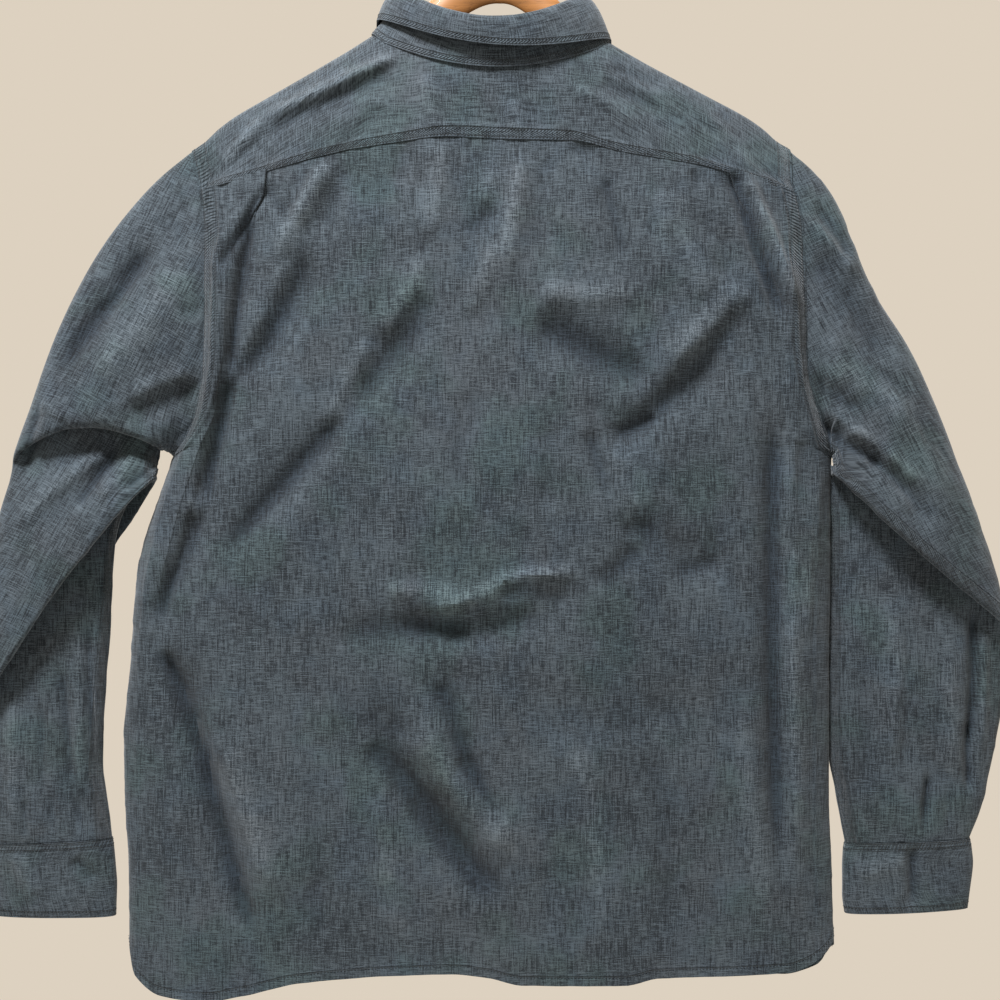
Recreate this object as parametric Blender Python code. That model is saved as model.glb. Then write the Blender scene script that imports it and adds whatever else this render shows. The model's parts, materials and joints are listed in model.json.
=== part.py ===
"""A long-sleeved chambray work shirt hanging on a wooden hanger, with its back to -Y.

Lengths are in millimetres until a mesh is made, which is in metres. +Z is up, +X is to the right of
someone who looks at the shirt's back, and the origin is the top of the inside of the hanger's hook.
A `drop` is measured downwards from the level of the side neck points. Each piece of cloth is a sheet
of points with a wall grown to both sides of it, and neighbouring pieces stop SEAM_GAP apart.
"""

import math

import bpy
import numpy as np

MM = 0.001
TURN = 2 * math.pi

# The cloth and how pieces meet.
CLOTH = 1.2
COLLAR_CLOTH = 1.6
CUFF_CLOTH = 1.8
SEAM_GAP = 0.3
LAP_GAP = 0.4
UNDERARM_GAP = 1.2

# Heights of the hanger, above or below the origin in the hook.
NECK_LEVEL = -174.0
HANGER_CROWN = 82.0
HANGER_ARCH = 36.0
HANGER_SPAN = (-214.0, 212.0)
HANGER_HALF_THICK = (6.0, 6.5)
HANGER_ARM_DEPTH = (42.0, 24.0)
HANGER_ARCH_WIDTH = 60.0
HANGER_SHOULDER = 3.0
HANGER_CLEAR = 1.0
HANGER_TIP = 0.08
HANGER_TIP_DEPTH = 0.45
HANGER_TIP_THICK = 0.5
HANGER_SECTIONS = 35
HANGER_SIDES = 12
HANGER_ROUND = 1.5
HOOK_WIRE = 1.9
HOOK_INSIDE = 18.0
HOOK_SWEEP = (-25.0, 215.0)
HOOK_SHANK = -58.0
HOOK_PULL = 16.0
HOOK_STEPS = (19, 8)
HOOK_SIDES = 8

# The neck seam, which lies a little to the left of the hook.
NECK_CENTRE = -8.0
NECK_HALF_WIDTH = 103.0
NECK_BACK = 32.0
NECK_FRONT = 27.0
NECK_BACK_DROP = 28.0
NECK_FRONT_DROP = 72.0
NECK_SIDE_RISE = 3.0
NECK_TILT = 3.0
NECK_YOKE_FRONT = math.radians(122)
NECK_YOKE_BACK = math.radians(58)
NECK_BACK_ROUND = 0.75
NECK_FRONT_ROUND = 0.55
NECK_FRONT_FALL = 1.3

# The armhole: where it starts and ends, how deep its ring is, and where the yoke's seams meet it.
ARMHOLE_TOP = {"left": 93.0, "right": 92.0}
ARMHOLE_END = {"left": 358.0, "right": 357.0}
ARMHOLE_BACK = 22.0
ARMHOLE_FRONT = 19.0
ARMHOLE_ROUND = 0.375
ARMHOLE_ROW = 0.35
UNDERARM_EASE = (0.3, 0.8, 1.0)
YOKE_BACK_CORNER = {"left": 0.140, "right": 0.151}
YOKE_FRONT_CORNER = 0.15
YOKE_ROWS = 8
SIDE_ROUND = 3.0
CORNER_STEPS = 3
BACK_STEPS = 10
FRONT_STEPS = 7

PLACKET_WIDTH = 34.0
PLACKET_DEPTH = 1.4
PLACKET_INSET = 0.5
PLACKET_BELOW_NECK = 2.0
FRONT_OVERLAP = 17.0
BUTTON_ACROSS = 11.0
BUTTON_THICK = 2.4
BUTTON_SIDES = 10
BUTTON_PROFILE = ((0.86, 0.0), (1.0, 0.35), (0.86, 1.0), (0.6, 0.72))
FRONT_BUTTONS = 6
FIRST_BUTTON = 140.0
LAST_BUTTON = 660.0
STRIP_CLEAR = 1.2


def table(columns, *rows):
    """Named columns of numbers, with a row for each section, seam point or fold."""
    return {
        name: np.array(values, float)
        for name, values in zip(columns.split(), zip(*rows))
    }


# The armhole seam, from the shoulder point at 0 to the underarm at 1.
ARMHOLE = table(
    "down left right",
    (0.00, -266, 250),
    (0.12, -257, 249),
    (0.18, -254, 254),
    (0.30, -252, 258),
    (0.50, -251, 259),
    (0.70, -252, 260),
    (0.78, -254, 264),
    (0.86, -259, 271),
    (0.95, -270, 280),
    (1.00, -282, 287),
)

# The side edges of the body below the underarm.
SIDES = table(
    "drop left right",
    (357, -282, 287),
    (396, -296, 286),
    (431, -308, 286),
    (465, -315, 286),
    (535, -320, 285),
    (605, -326, 285),
    (657, -325, 285),
    (709, -322, 287),
    (785, -321, 289),
)

# How far the back and the fronts stand from the plane of the side seams, at the centre line.
DEPTHS = table(
    "drop back front",
    (80, 31, 26),
    (200, 34, 26),
    (358, 34, 24),
    (500, 33, 22),
    (650, 30, 20),
    (810, 26, 18),
)

# The seam under the back yoke, from armhole to armhole.
YOKE_SEAM = table(
    "x drop",
    (-256, 130),
    (-232, 124),
    (-196, 113),
    (-136, 98),
    (-88, 90),
    (-48, 85),
    (6, 87),
    (63, 88),
    (102, 97),
    (159, 106),
    (202, 113),
    (242, 126),
    (254, 132),
)

# The two pleats under the yoke. `edge` is the fold that lies on top, `valley` the fold under it, and
# `lift` how far the outer cloth stands above the rest. Below the lap they part and become a fold.
PLEATS = {
    "left": table(
        "drop edge valley lift",
        (112, -199, -213, 3.8),
        (131, -201, -208, 4.4),
        (150, -211, -209, 6),
        (170, -224, -212, 8),
        (193, -231, -217, 10),
        (226, -232, -221, 10),
        (300, -240, -231, 10),
        (337, -251, -243, 11),
        (394, -271, -256, 12),
        (467, -291, -279, 7),
        (518, -300, -288, 4),
        (600, -296, -280, 2),
        (785, -276, -256, 0.5),
    ),
    "right": table(
        "drop edge valley lift",
        (112, 195, 209, 3.8),
        (135, 203, 206, 5),
        (160, 216, 201, 8),
        (180, 223, 207, 10),
        (201, 231, 215, 10.5),
        (234, 243, 226, 9),
        (264, 246, 238, 6),
        (360, 252, 238, 4),
        (523, 250, 236, 4),
        (785, 252, 236, 1),
    ),
}

# The back hem, as a share of the width from the left side seam to the right one.
BACK_HEM = table(
    "across drop",
    (0.00, 785),
    (0.012, 809),
    (0.05, 823),
    (0.11, 826),
    (0.16, 821),
    (0.25, 808),
    (0.36, 802),
    (0.46, 800),
    (0.51, 803),
    (0.56, 810),
    (0.70, 810),
    (0.75, 804),
    (0.87, 803),
    (0.93, 802),
    (0.965, 796),
    (0.988, 786),
    (1.00, 776),
)

# The front hems, from the side seam to the centre.
FRONT_HEM = table(
    "across drop",
    (0.00, 783),
    (0.04, 802),
    (0.14, 812),
    (0.35, 808),
    (0.60, 803),
    (1.00, 806),
)

# The shoulder line, as a drop by the distance out from the side neck point.
SHOULDER = table(
    "out drop",
    (0, -3),
    (27, 13),
    (59, 30.5),
    (91, 48),
    (121, 65),
    (143, 82),
    (155, 92.5),
)

# How many points a fold's curve is read at, and the share of it over which it rises and dies away.
FOLD_STEPS = 25
FOLD_FADE = (0.25, 0.3)

# Soft folds of the back: a curve by three points, its width, and how far it stands out or sinks in.
# `lap` above 0 makes the side to the right of the curve gentler, and below 0 the left side.
BACK_FOLDS = table(
    "x0 drop0 x1 drop1 x2 drop2 width depth lap",
    (-152, 108, -164, 136, -175, 166, 13, 7, 0),
    (-153, 186, -178, 246, -224, 300, 16, -10, 0),
    (-281, 520, -250, 604, -214, 780, 19, -12, 0),
    (-262, 560, -212, 660, -170, 760, 24, 6, 0),
    (-124, 545, -65, 651, 6, 740, 21, -13, 0),
    (-78, 560, -22, 640, 45, 725, 20, 7, 0),
    (-52, 520, -24, 600, -4, 690, 14, -6, 0),
    (-92, 480, -14, 496, 70, 454, 13, 7, 0),
    (-104, 506, -30, 520, 70, 484, 14, -9, 0),
    (78, 342, 146, 332, 214, 246, 18, -11, 0),
    (96, 314, 136, 300, 190, 240, 17, 6, 0),
    (20, 240, 82, 284, 150, 300, 19, -9, 0),
    (24, 98, 8, 190, -20, 240, 15, 5, 0),
    (-52, 222, -124, 317, -240, 452, 21, -9, 0),
    (-86, 270, -150, 372, -226, 480, 22, 6, 0),
    (108, 412, 150, 460, 206, 440, 18, -7, 0),
    (30, 560, 110, 600, 190, 560, 24, -5, 0),
)

# Soft folds of the fronts, seen with the same x: from the yoke seams, across the waist, and at the hem.
FRONT_FOLDS = table(
    "x0 drop0 x1 drop1 x2 drop2 width depth lap",
    (-150, 130, -176, 230, -196, 330, 20, -7, 0),
    (-112, 120, -128, 230, -150, 380, 18, 5, 0),
    (-230, 300, -196, 400, -150, 480, 20, -8, 0),
    (-206, 470, -150, 560, -110, 700, 22, -8, 0),
    (-270, 560, -240, 660, -214, 770, 19, -8, 0),
    (-84, 420, -60, 520, -52, 640, 18, 5, 0),
    (144, 130, 168, 220, 190, 320, 20, -7, 0),
    (226, 320, 180, 400, 130, 450, 18, -8, 0),
    (96, 380, 120, 500, 110, 640, 22, -7, 0),
    (190, 480, 176, 600, 196, 760, 20, 6, 0),
    (246, 520, 236, 640, 240, 770, 17, -7, 0),
)

# Folds of the yoke: the ridge that the hanger raises on the left, and its fainter twin.
YOKE_FOLDS = table(
    "x0 drop0 x1 drop1 x2 drop2 width depth lap",
    (-100, 18, -176, 50, -246, 116, 10, 4, 0),
    (86, 22, 150, 46, 226, 98, 12, 2.5, 0),
)

# The sleeves, from the armhole to the cuff. `outer` is the edge away from the body and `inner` the one
# beside it, `back` and `front` are how far each layer stands from the line between them, and `rise`
# and `shift` bow the back layer up and to the right at its middle.
SLEEVE_COLUMNS = (
    "outer_x outer_drop inner_x inner_drop outer_y inner_y back front rise shift"
)
LEFT_SLEEVE = table(
    SLEEVE_COLUMNS,
    (-292, 113, -284, 357, 0, -1, 24, 18, 0, 30),
    (-326, 152, -286, 355, 0, -2, 27, 19, 0, 24),
    (-351, 187, -287, 354, 0, -3, 29, 20, 3, 18),
    (-373, 228, -288, 353, 0, -4, 30, 21, 7, 12),
    (-394, 280, -289, 352, 0, -5, 31, 21, 13, 6),
    (-412, 332, -290, 351, 0, -6, 32, 21, 20, 0),
    (-421, 358, -291, 350, 0, -8, 30, 22, 25, 0),
    (-422, 362, -292, 352, 0, -6, 26, 21, 23, 0),
    (-423, 367, -294, 346, 0, -3, 19, 19, 46, 0),
    (-424, 372, -296, 348, 0, 0, 15, 16, 46, 0),
    (-426, 380, -297, 358, 0, 0, 14, 15, 22, 0),
    (-432, 400, -298, 363, 0, -2, 20, 16, 12, 0),
    (-441, 436, -298, 367, 0, -4, 27, 18, 6, 0),
    (-449, 480, -297, 370, 0, -6, 31, 20, 2, 0),
    (-453, 530, -297, 374, 0, -9, 32, 24, 0, -4),
    (-451, 582, -298, 377, 0, -11, 30, 28, 0, -8),
    (-451, 586, -300, 379, 0, -9, 26, 26, 0, -8),
    (-451, 590, -306, 371, 1, -4, 17, 20, 14, -22),
    (-451, 594, -312, 373, 2, 1, 12, 16, 14, -22),
    (-451, 600, -325, 396, 3, 4, 11, 14, 0, -8),
    (-450, 615, -336, 430, 4, 5, 13, 14, 0, 0),
    (-449, 635, -340, 480, 4, 5, 14, 14, 0, 0),
    (-448, 652, -343, 530, 4, 5, 14, 14, 0, 0),
    (-447, 666, -346, 580, 4, 5, 14, 14, 0, 0),
    (-446, 678, -348, 622, 4, 5, 14, 13, 0, 0),
    (-445, 687, -344, 657, 4, 5, 13, 13, 0, 0),
    (-443, 695, -339, 690, 4, 4, 11, 11, 0, 0),
)
RIGHT_SLEEVE = table(
    SLEEVE_COLUMNS,
    (274, 113, 287, 357, 0, -1, 24, 18, 0, -8),
    (297, 150, 288, 356, 0, -2, 26, 19, 0, -10),
    (311, 187, 288, 356, 0, -3, 28, 20, 0, -9),
    (328, 224, 289, 357, 0, -4, 29, 21, 2, -8),
    (352, 262, 289, 358, 0, -5, 30, 21, 4, -4),
    (374, 309, 289, 360, 0, -7, 31, 22, 6, 0),
    (396, 366, 289, 363, 0, -9, 32, 23, 6, 0),
    (415, 416, 289, 366, 0, -11, 32, 25, 3, 0),
    (429, 458, 288, 369, 0, -13, 32, 27, 0, 0),
    (439, 500, 288, 372, 0, -14, 30, 29, -6, 0),
    (440, 506, 289, 374, 0, -12, 26, 28, -6, 0),
    (441, 512, 293, 366, 1, -6, 18, 22, 12, 12),
    (441, 518, 296, 368, 2, 0, 12, 17, 12, 12),
    (441, 526, 293, 386, 3, 4, 11, 15, -4, 0),
    (441, 540, 290, 420, 4, 6, 13, 14, 0, 0),
    (440, 558, 290, 465, 4, 6, 14, 14, 0, 0),
    (437, 580, 290, 515, 4, 6, 15, 14, 0, 0),
    (432, 606, 289, 565, 4, 6, 15, 14, 0, 0),
    (426, 634, 287, 612, 4, 6, 14, 14, 0, 0),
    (420, 660, 292, 652, 4, 6, 13, 13, 0, 0),
    (409, 690, 302, 694, 4, 5, 11, 11, 0, 0),
)
SLEEVE_ROUND = 0.75
BEFORE_FOREARM = 17

# The cuffs, from the sleeve's end to the wrist.
LEFT_CUFF = table(
    SLEEVE_COLUMNS,
    (-443, 695.6, -339, 690.6, 4, 4, 12, 12, 0, 0),
    (-445, 715, -337, 712, 4, 4, 12, 12, 0, 0),
    (-445, 736, -336, 735, 4, 4, 12, 12, 0, 0),
    (-443, 757, -336, 758, 4, 4, 11, 11, 0, 0),
)
RIGHT_CUFF = table(
    SLEEVE_COLUMNS,
    (409, 690.6, 302, 694.6, 4, 5, 12, 12, 0, 0),
    (411, 712, 300, 718, 4, 5, 12, 12, 0, 0),
    (409, 734, 300, 739, 4, 5, 12, 12, 0, 0),
    (407, 751, 302, 756, 4, 5, 11, 11, 0, 0),
)
CUFF_START = 0.70
CUFF_LAP = 0.06
CUFF_COLUMNS = 23
CUFF_LAP_EASE = 0.06

# The strips over the slits above the cuffs, on the front layer, and the rings of each sleeve there.
SLEEVE_PLACKET = (118.0, 24.0)
SLEEVE_PLACKET_TURN = 0.73
SLEEVE_PLACKET_ROWS = 7
FOREARM_ROWS = 8

# Soft folds of the sleeves' back layers.
SLEEVE_FOLDS = table(
    "x0 drop0 x1 drop1 x2 drop2 width depth lap",
    (259, 300, 275, 338, 300, 342, 9, -10, 0),
    (300, 342, 336, 376, 372, 424, 11, -10, -0.3),
    (262, 142, 290, 175, 322, 214, 12, 4, 0),
    (-254, 130, -300, 170, -360, 258, 14, -5, 0),
    (-246, 296, -286, 316, -330, 336, 10, -6, 0),
    (-318, 350, -352, 382, -400, 420, 13, -5, 0),
)

# The stand's top and the leaf's edge: the ring's middle and half width, how far it stands back and
# forward, its drop at the sides, and how much lower it lies at the back and at the front.
STAND_TOP = {
    "centre": -8.0, "half_width": 76.0, "widen": 0.0, "back": 38.0, "front": 34.0,
    "drop": -38.0, "dip": 31.0, "fall": 72.0, "tilt": 2.0,
}
LEAF_EDGE = {
    "centre": -5.2, "half_width": 101.5, "widen": 12.0, "back": 62.0, "front": 50.0,
    "drop": -11.5, "dip": 31.5, "fall": 112.0, "tilt": 6.5,
}
COLLAR_FRONT_ROUND = 0.8
COLLAR_FRONT_FALL = 1.2
STAND_ABOVE_SEAM = 1.7
STAND_BELOW_SEAM = 3.0
STAND_OUTSIDE = 2.4
STAND_ROWS = (0, 0.35, 0.7, 1.0)
STAND_COLUMNS = 31
STAND_LAP = math.radians(9)
STAND_LAP_START = math.radians(140)
STAND_LAP_EASE = math.radians(30)
LEAF_ROWS = (0, 0.1, 0.25, 0.45, 0.7, 1.0)
LEAF_COLUMNS = 27
LEAF_END = math.radians(160)
LEAF_ROLL = (13.0, 9.0)
LEAF_CLEAR = 1.8


# ---------------------------------------------------------------- curves and sheets


def smooth(at, where, values):
    """A smooth curve through the table's values that doesn't swing past them."""
    step = np.diff(where)
    slope = np.diff(values) / step
    tangent = np.zeros(len(values))
    same_way = slope[:-1] * slope[1:] > 0
    both = slope[:-1] + slope[1:]
    tangent[1:-1][same_way] = (2 * slope[:-1] * slope[1:])[same_way] / both[same_way]
    tangent[0], tangent[-1] = slope[0], slope[-1]
    at = np.clip(np.asarray(at, float), where[0], where[-1])
    k = np.clip(np.searchsorted(where, at, side="right") - 1, 0, len(step) - 1)
    t = (at - where[k]) / step[k]
    start = (1 + 2 * t) * (1 - t) ** 2 * values[k] + t * (1 - t) ** 2 * step[k] * tangent[k]
    end = t * t * (3 - 2 * t) * values[k + 1] + t * t * (t - 1) * step[k] * tangent[k + 1]
    return start + end


def ease(t):
    """From 0 to 1, level at both ends."""
    t = np.clip(t, 0, 1)
    return t * t * (3 - 2 * t)


def mix(a, b, share):
    return a + (b - a) * share


def unit(vectors):
    return vectors / np.maximum(np.linalg.norm(vectors, axis=-1, keepdims=True), 1e-9)


def place(x, y, drop):
    """Points from across, depth and drop, in millimetres from the origin."""
    x, y, drop = np.broadcast_arrays(x, y, drop)
    return np.stack([x, y, NECK_LEVEL - drop], axis=-1).astype(float)


def drops(points):
    return NECK_LEVEL - points[..., 2]


def relief(x, drop, folds):
    """How far the folds lift the cloth at each place, in millimetres."""
    lifted = np.zeros(np.broadcast(x, drop).shape)
    along = np.linspace(0, 1, FOLD_STEPS)
    for x0, d0, x1, d1, x2, d2, width, depth, lap in zip(*folds.values()):
        curve_x = (1 - along) ** 2 * x0 + 2 * along * (1 - along) * x1 + along**2 * x2
        curve_d = (1 - along) ** 2 * d0 + 2 * along * (1 - along) * d1 + along**2 * d2
        dx = x[..., None] - curve_x
        dd = drop[..., None] - curve_d
        near = np.argmin(dx**2 + dd**2, axis=-1)
        tangent_x, tangent_d = np.gradient(curve_x), np.gradient(curve_d)
        size = np.hypot(tangent_x, tangent_d)[near]
        away_x = np.take_along_axis(dx, near[..., None], -1)[..., 0]
        away_d = np.take_along_axis(dd, near[..., None], -1)[..., 0]
        side = (away_x * tangent_d[near] - away_d * tangent_x[near]) / size
        past = (away_x * tangent_x[near] + away_d * tangent_d[near]) / size
        across = side / (width * np.where(side > 0, 1 + lap, 1 - lap))
        fade = ease(along[near] / FOLD_FADE[0]) * ease((1 - along[near]) / FOLD_FADE[1])
        lifted += depth * fade * np.exp(-(across**2) - (past / width) ** 2)
    return lifted


def tangents(points, axis, around=False):
    """Directions along a grid's lines, each halfway between those of the two steps that meet there."""
    steps = unit(np.diff(points, axis=axis))
    if around:
        closing = unit(np.take(points, [0], axis) - np.take(points, [-1], axis))
        before = np.concatenate([closing, steps], axis=axis)
        after = np.concatenate([steps, closing], axis=axis)
    else:
        before = np.concatenate([np.take(steps, [0], axis), steps], axis=axis)
        after = np.concatenate([steps, np.take(steps, [-1], axis)], axis=axis)
    return unit(before + after)


def sheet_normals(points, around=False):
    """Outward normals of a grid whose rows go down and whose columns go right, seen from outside."""
    return unit(np.cross(tangents(points, 0), tangents(points, 1, around)))


EDGES = {"top": np.s_[0], "bottom": np.s_[-1], "left": np.s_[:, 0], "right": np.s_[:, -1]}


def clear_underarm(points, edge, down, side):
    """Draw the panel's underarm corner in, so that the sleeve's ring passes it."""
    row = int(np.argmin(np.abs(down - ARMHOLE_ROW)))
    inward = UNDERARM_GAP if side == "left" else -UNDERARM_GAP
    points[EDGES[edge]][row - 2:row + 1, 0] += np.array(UNDERARM_EASE) * inward


def seam(points, normals, edge, crossing, around=False):
    """Square off an edge to the direction that crosses its seam, and draw it back by half the gap."""
    at = EDGES[edge]
    crossing = unit(np.broadcast_to(crossing, points[at].shape))
    facing = unit(np.cross(tangents(points[at], 0, around), crossing))
    facing *= np.where((facing * normals[at]).sum(-1, keepdims=True) < 0, -1, 1)
    normals[at] = facing
    points[at] = points[at] - crossing * SEAM_GAP / 2


# ---------------------------------------------------------------- making objects


def material(name, colour, roughness, metallic=0.0):
    made = bpy.data.materials.new(name)
    made.use_nodes = True
    shader = made.node_tree.nodes["Principled BSDF"]
    shader.inputs["Base Color"].default_value = (*colour, 1.0)
    shader.inputs["Roughness"].default_value = roughness
    shader.inputs["Metallic"].default_value = metallic
    return made


def mesh_object(name, points, faces, finish):
    """A named object from points in millimetres and faces that point outwards."""
    mesh = bpy.data.meshes.new(name)
    mesh.from_pydata([tuple(p * MM) for p in np.asarray(points, float)], [], faces)
    mesh.materials.append(finish)
    mesh.shade_smooth()
    mesh.set_sharp_from_angle(angle=math.radians(50))
    made = bpy.data.objects.new(name, mesh)
    bpy.context.scene.collection.objects.link(made)
    return made


def wall(name, points, finish, thick=CLOTH, around=False, normals=None):
    """A closed wall of cloth that holds the grid of points at its middle."""
    rows, columns = points.shape[:2]
    if normals is None:
        normals = sheet_normals(points, around)
    skin = np.concatenate(
        [(points + side * normals * thick / 2).reshape(-1, 3) for side in (1, -1)]
    )
    inner = rows * columns

    def at(r, c):
        return r * columns + c % columns

    steps = range(columns if around else columns - 1)
    faces = []
    for r in range(rows - 1):
        for c in steps:
            quad = (at(r, c), at(r + 1, c), at(r + 1, c + 1), at(r, c + 1))
            faces.append(quad)
            faces.append(tuple(inner + i for i in reversed(quad)))
    for c in steps:
        for r, one, two in ((0, c, c + 1), (rows - 1, c + 1, c)):
            faces.append((at(r, one), at(r, two), inner + at(r, two), inner + at(r, one)))
    if not around:
        for r in range(rows - 1):
            for c, one, two in ((0, r + 1, r), (columns - 1, r, r + 1)):
                faces.append((at(one, c), at(two, c), inner + at(two, c), inner + at(one, c)))
    return mesh_object(name, skin, faces, finish)


# ---------------------------------------------------------------- the body's curves


def ring_angle(down):
    return np.arccos(1 - 2 * np.clip(down, 0, 1))


def armhole_steps(corner, steps):
    """Shares of the armhole below the yoke's corner, evenly turned about its ring."""
    angles = np.linspace(ring_angle(corner), math.pi, steps + 1)
    return ((1 - np.cos(angles)) / 2 - corner) / (1 - corner)


def armhole(side, down, face):
    """A point of the armhole seam. `face` is -1 on the back and 1 on the front."""
    ring = np.clip(4 * down * (1 - down), 0, 1) ** ARMHOLE_ROUND
    deep = ARMHOLE_BACK if face < 0 else ARMHOLE_FRONT
    drop = mix(ARMHOLE_TOP[side], ARMHOLE_END[side], down)
    return place(smooth(down, ARMHOLE["down"], ARMHOLE[side]), face * deep * ring, drop)


def body_edge(side, down, face, corner, hem_drop):
    """The panel's edge: the armhole seam down to ARMHOLE_ROW, and then the side seam."""
    on_armhole = mix(corner, 1.0, np.clip(down / ARMHOLE_ROW, 0, 1))
    upper = armhole(side, on_armhole, face)
    below = np.clip((down - ARMHOLE_ROW) / (1 - ARMHOLE_ROW), 0, 1)
    drop = mix(ARMHOLE_END[side], hem_drop, below)
    lower = place(smooth(drop, SIDES["drop"], SIDES[side]), 0.0, drop)
    return np.where((down <= ARMHOLE_ROW)[..., None], upper, lower)


def edge_crossing(side, down, face):
    """Which way the panel's edge looks: out at the armhole, and to the other panel at the side."""
    outward = np.array([-1.0 if side == "left" else 1.0, 0.0, 0.0])
    other = np.array([0.0, -face, 0.0])
    return np.where((down < ARMHOLE_ROW - 1e-6)[:, None], outward, other)


def panel_rows(corner, steps, below):
    """Shares of the way down a panel: rows at the sleeve's columns, and then even ones to the hem."""
    above = ARMHOLE_ROW * armhole_steps(corner, steps)
    return np.concatenate([above, np.linspace(ARMHOLE_ROW, 1.0, below + 1)[1:]])


def neck(angle):
    """A point of the neck seam. The angle is 0 at the back, negative to the left."""
    back, side = np.cos(angle), np.sin(angle)
    behind = back > 0
    size = np.abs(back)
    drop = np.where(behind, NECK_BACK_DROP * back**2, NECK_FRONT_DROP * size**NECK_FRONT_FALL)
    y = np.where(behind, -NECK_BACK * size**NECK_BACK_ROUND, NECK_FRONT * size**NECK_FRONT_ROUND)
    drop = drop - NECK_SIDE_RISE + NECK_TILT * side
    return place(NECK_CENTRE + NECK_HALF_WIDTH * side, y, drop)


def rounded_depth(across, edge, deep):
    """Depth of a panel from its edge's own depth to the deepest at the centre, rounded at the sides."""
    return np.sqrt(edge**2 + (deep**2 - edge**2) * (1 - np.abs(across) ** SIDE_ROUND))


# ---------------------------------------------------------------- the back and the yoke

RIDGE_WIDTH = 14.0
YOKE_FOLD_MARGIN = 8.0
SIDE_SHARES = (0.0, 0.18, 0.42, 0.70)
PLEAT_APPROACH = 13.0
PLEAT_TURN = 1.0
PLEAT_FACE = (0.33, 0.67)
PLEAT_PARTED = 12.0
MIDDLE_COLUMNS = 18
BACK_ROWS_BELOW = 20
MEAN_CORNER = 0.146
HEM_REACH = 3
BACK_FOLD_MARGIN = (0.07, 0.03)


def pleat_columns(side, side_x, drop, down):
    """Across and lift of the seven columns that run down a pleat, from the side inwards."""
    pleat = PLEATS[side]
    drop = drop + (pleat["drop"][0] - drop[0]) * (1 - down)
    edge, valley, lift = (smooth(drop, pleat["drop"], pleat[k]) for k in ("edge", "valley", "lift"))
    inward = 1.0 if side == "left" else -1.0
    x = [
        edge - inward * np.minimum(PLEAT_APPROACH, 0.5 * (edge - side_x) * inward),
        edge - inward * PLEAT_TURN,
        edge,
        mix(edge, valley, PLEAT_FACE[0]),
        mix(edge, valley, PLEAT_FACE[1]),
        valley,
        valley + inward * PLEAT_TURN * 1.6,
    ]
    parted = ease((valley - edge) * inward / PLEAT_PARTED)
    lifts = [1.0, mix(1.0, 0.96, parted), mix(0.76, 0.86, parted), 0.5, mix(0.5, 0.2, parted), 0.22, 0.0]
    return [np.stack([xs, lift * share], axis=-1) for xs, share in zip(x, lifts)]


def back_grid(down):
    """Across, flat share and pleat lift of the back at each row, and where its edges are."""
    left, right = (
        body_edge(side, down, -1, YOKE_BACK_CORNER[side], BACK_HEM["drop"][end])
        for side, end in (("left", 0), ("right", -1))
    )
    drop = (drops(left) + drops(right)) / 2
    columns = {}
    for side, edge in (("left", left), ("right", right)):
        pleat = pleat_columns(side, edge[:, 0], drop, down)
        start = pleat[0][:, 0]
        outer = [
            np.stack([mix(edge[:, 0], start, share), share * pleat[0][:, 1]], axis=-1)
            for share in SIDE_SHARES
        ]
        columns[side] = outer + pleat
    first, last = columns["left"][-1][:, 0], columns["right"][-1][:, 0]
    shares = np.linspace(0, 1, MIDDLE_COLUMNS + 2)[1:-1]
    middle = [np.stack([mix(first, last, share), 0 * first], axis=-1) for share in shares]
    grid = np.stack(columns["left"] + middle + columns["right"][::-1], axis=1)
    return grid[..., 0], grid[..., 1], left, right


def back_rows():
    return panel_rows(MEAN_CORNER, BACK_STEPS, BACK_ROWS_BELOW)


def back_sheet():
    """The back with its two pleats, with columns from the left side seam to the right one."""
    down = back_rows()
    x, lift, left, right = back_grid(down)
    width = right[:, None, 0] - left[:, None, 0]
    across = (x - left[:, None, 0]) / width
    drop = mix(drops(left)[:, None], drops(right)[:, None], across)
    top = smooth(x[0], YOKE_SEAM["x"], YOKE_SEAM["drop"])
    top += mix(drop[0, 0] - top[0], drop[0, -1] - top[-1], across[0])
    flat = lift[0] == 0
    top = np.interp(x[0], x[0][flat], top[flat])
    hem = smooth(across[-1], BACK_HEM["across"], BACK_HEM["drop"])
    down = down[:, None]
    drop = drop + (top - drop[0]) * (1 - down) + (hem - drop[-1]) * down**HEM_REACH
    edge = np.where(across < 0.5, left[:, None, 1], right[:, None, 1])
    deep = smooth(drop, DEPTHS["drop"], DEPTHS["back"])
    y = -rounded_depth(2 * across - 1, edge, deep)
    at_side, at_top = BACK_FOLD_MARGIN
    inside = ease(np.minimum(across, 1 - across) / at_side) * ease(down / at_top)
    y = y - relief(x, drop, BACK_FOLDS) * inside - lift
    return place(x, y, drop)


def make_back(cloth):
    points = back_sheet()
    normals = sheet_normals(points)
    seam(points, normals, "top", (0, 0, 1))
    for side in ("left", "right"):
        seam(points, normals, side, edge_crossing(side, back_rows(), -1))
        clear_underarm(points, side, back_rows(), side)
    wall("back_panel", points, cloth, normals=normals)


def over_shoulder(side):
    """The armhole from the yoke's front corner, over the shoulder point, to its back corner."""
    share = np.linspace(0, 1, CORNER_STEPS + 1)
    front = armhole(side, YOKE_FRONT_CORNER * (1 - share) ** 2, 1)
    back = armhole(side, YOKE_BACK_CORNER[side] * share**2, -1)
    return np.concatenate([front, back[1:]])


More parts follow.
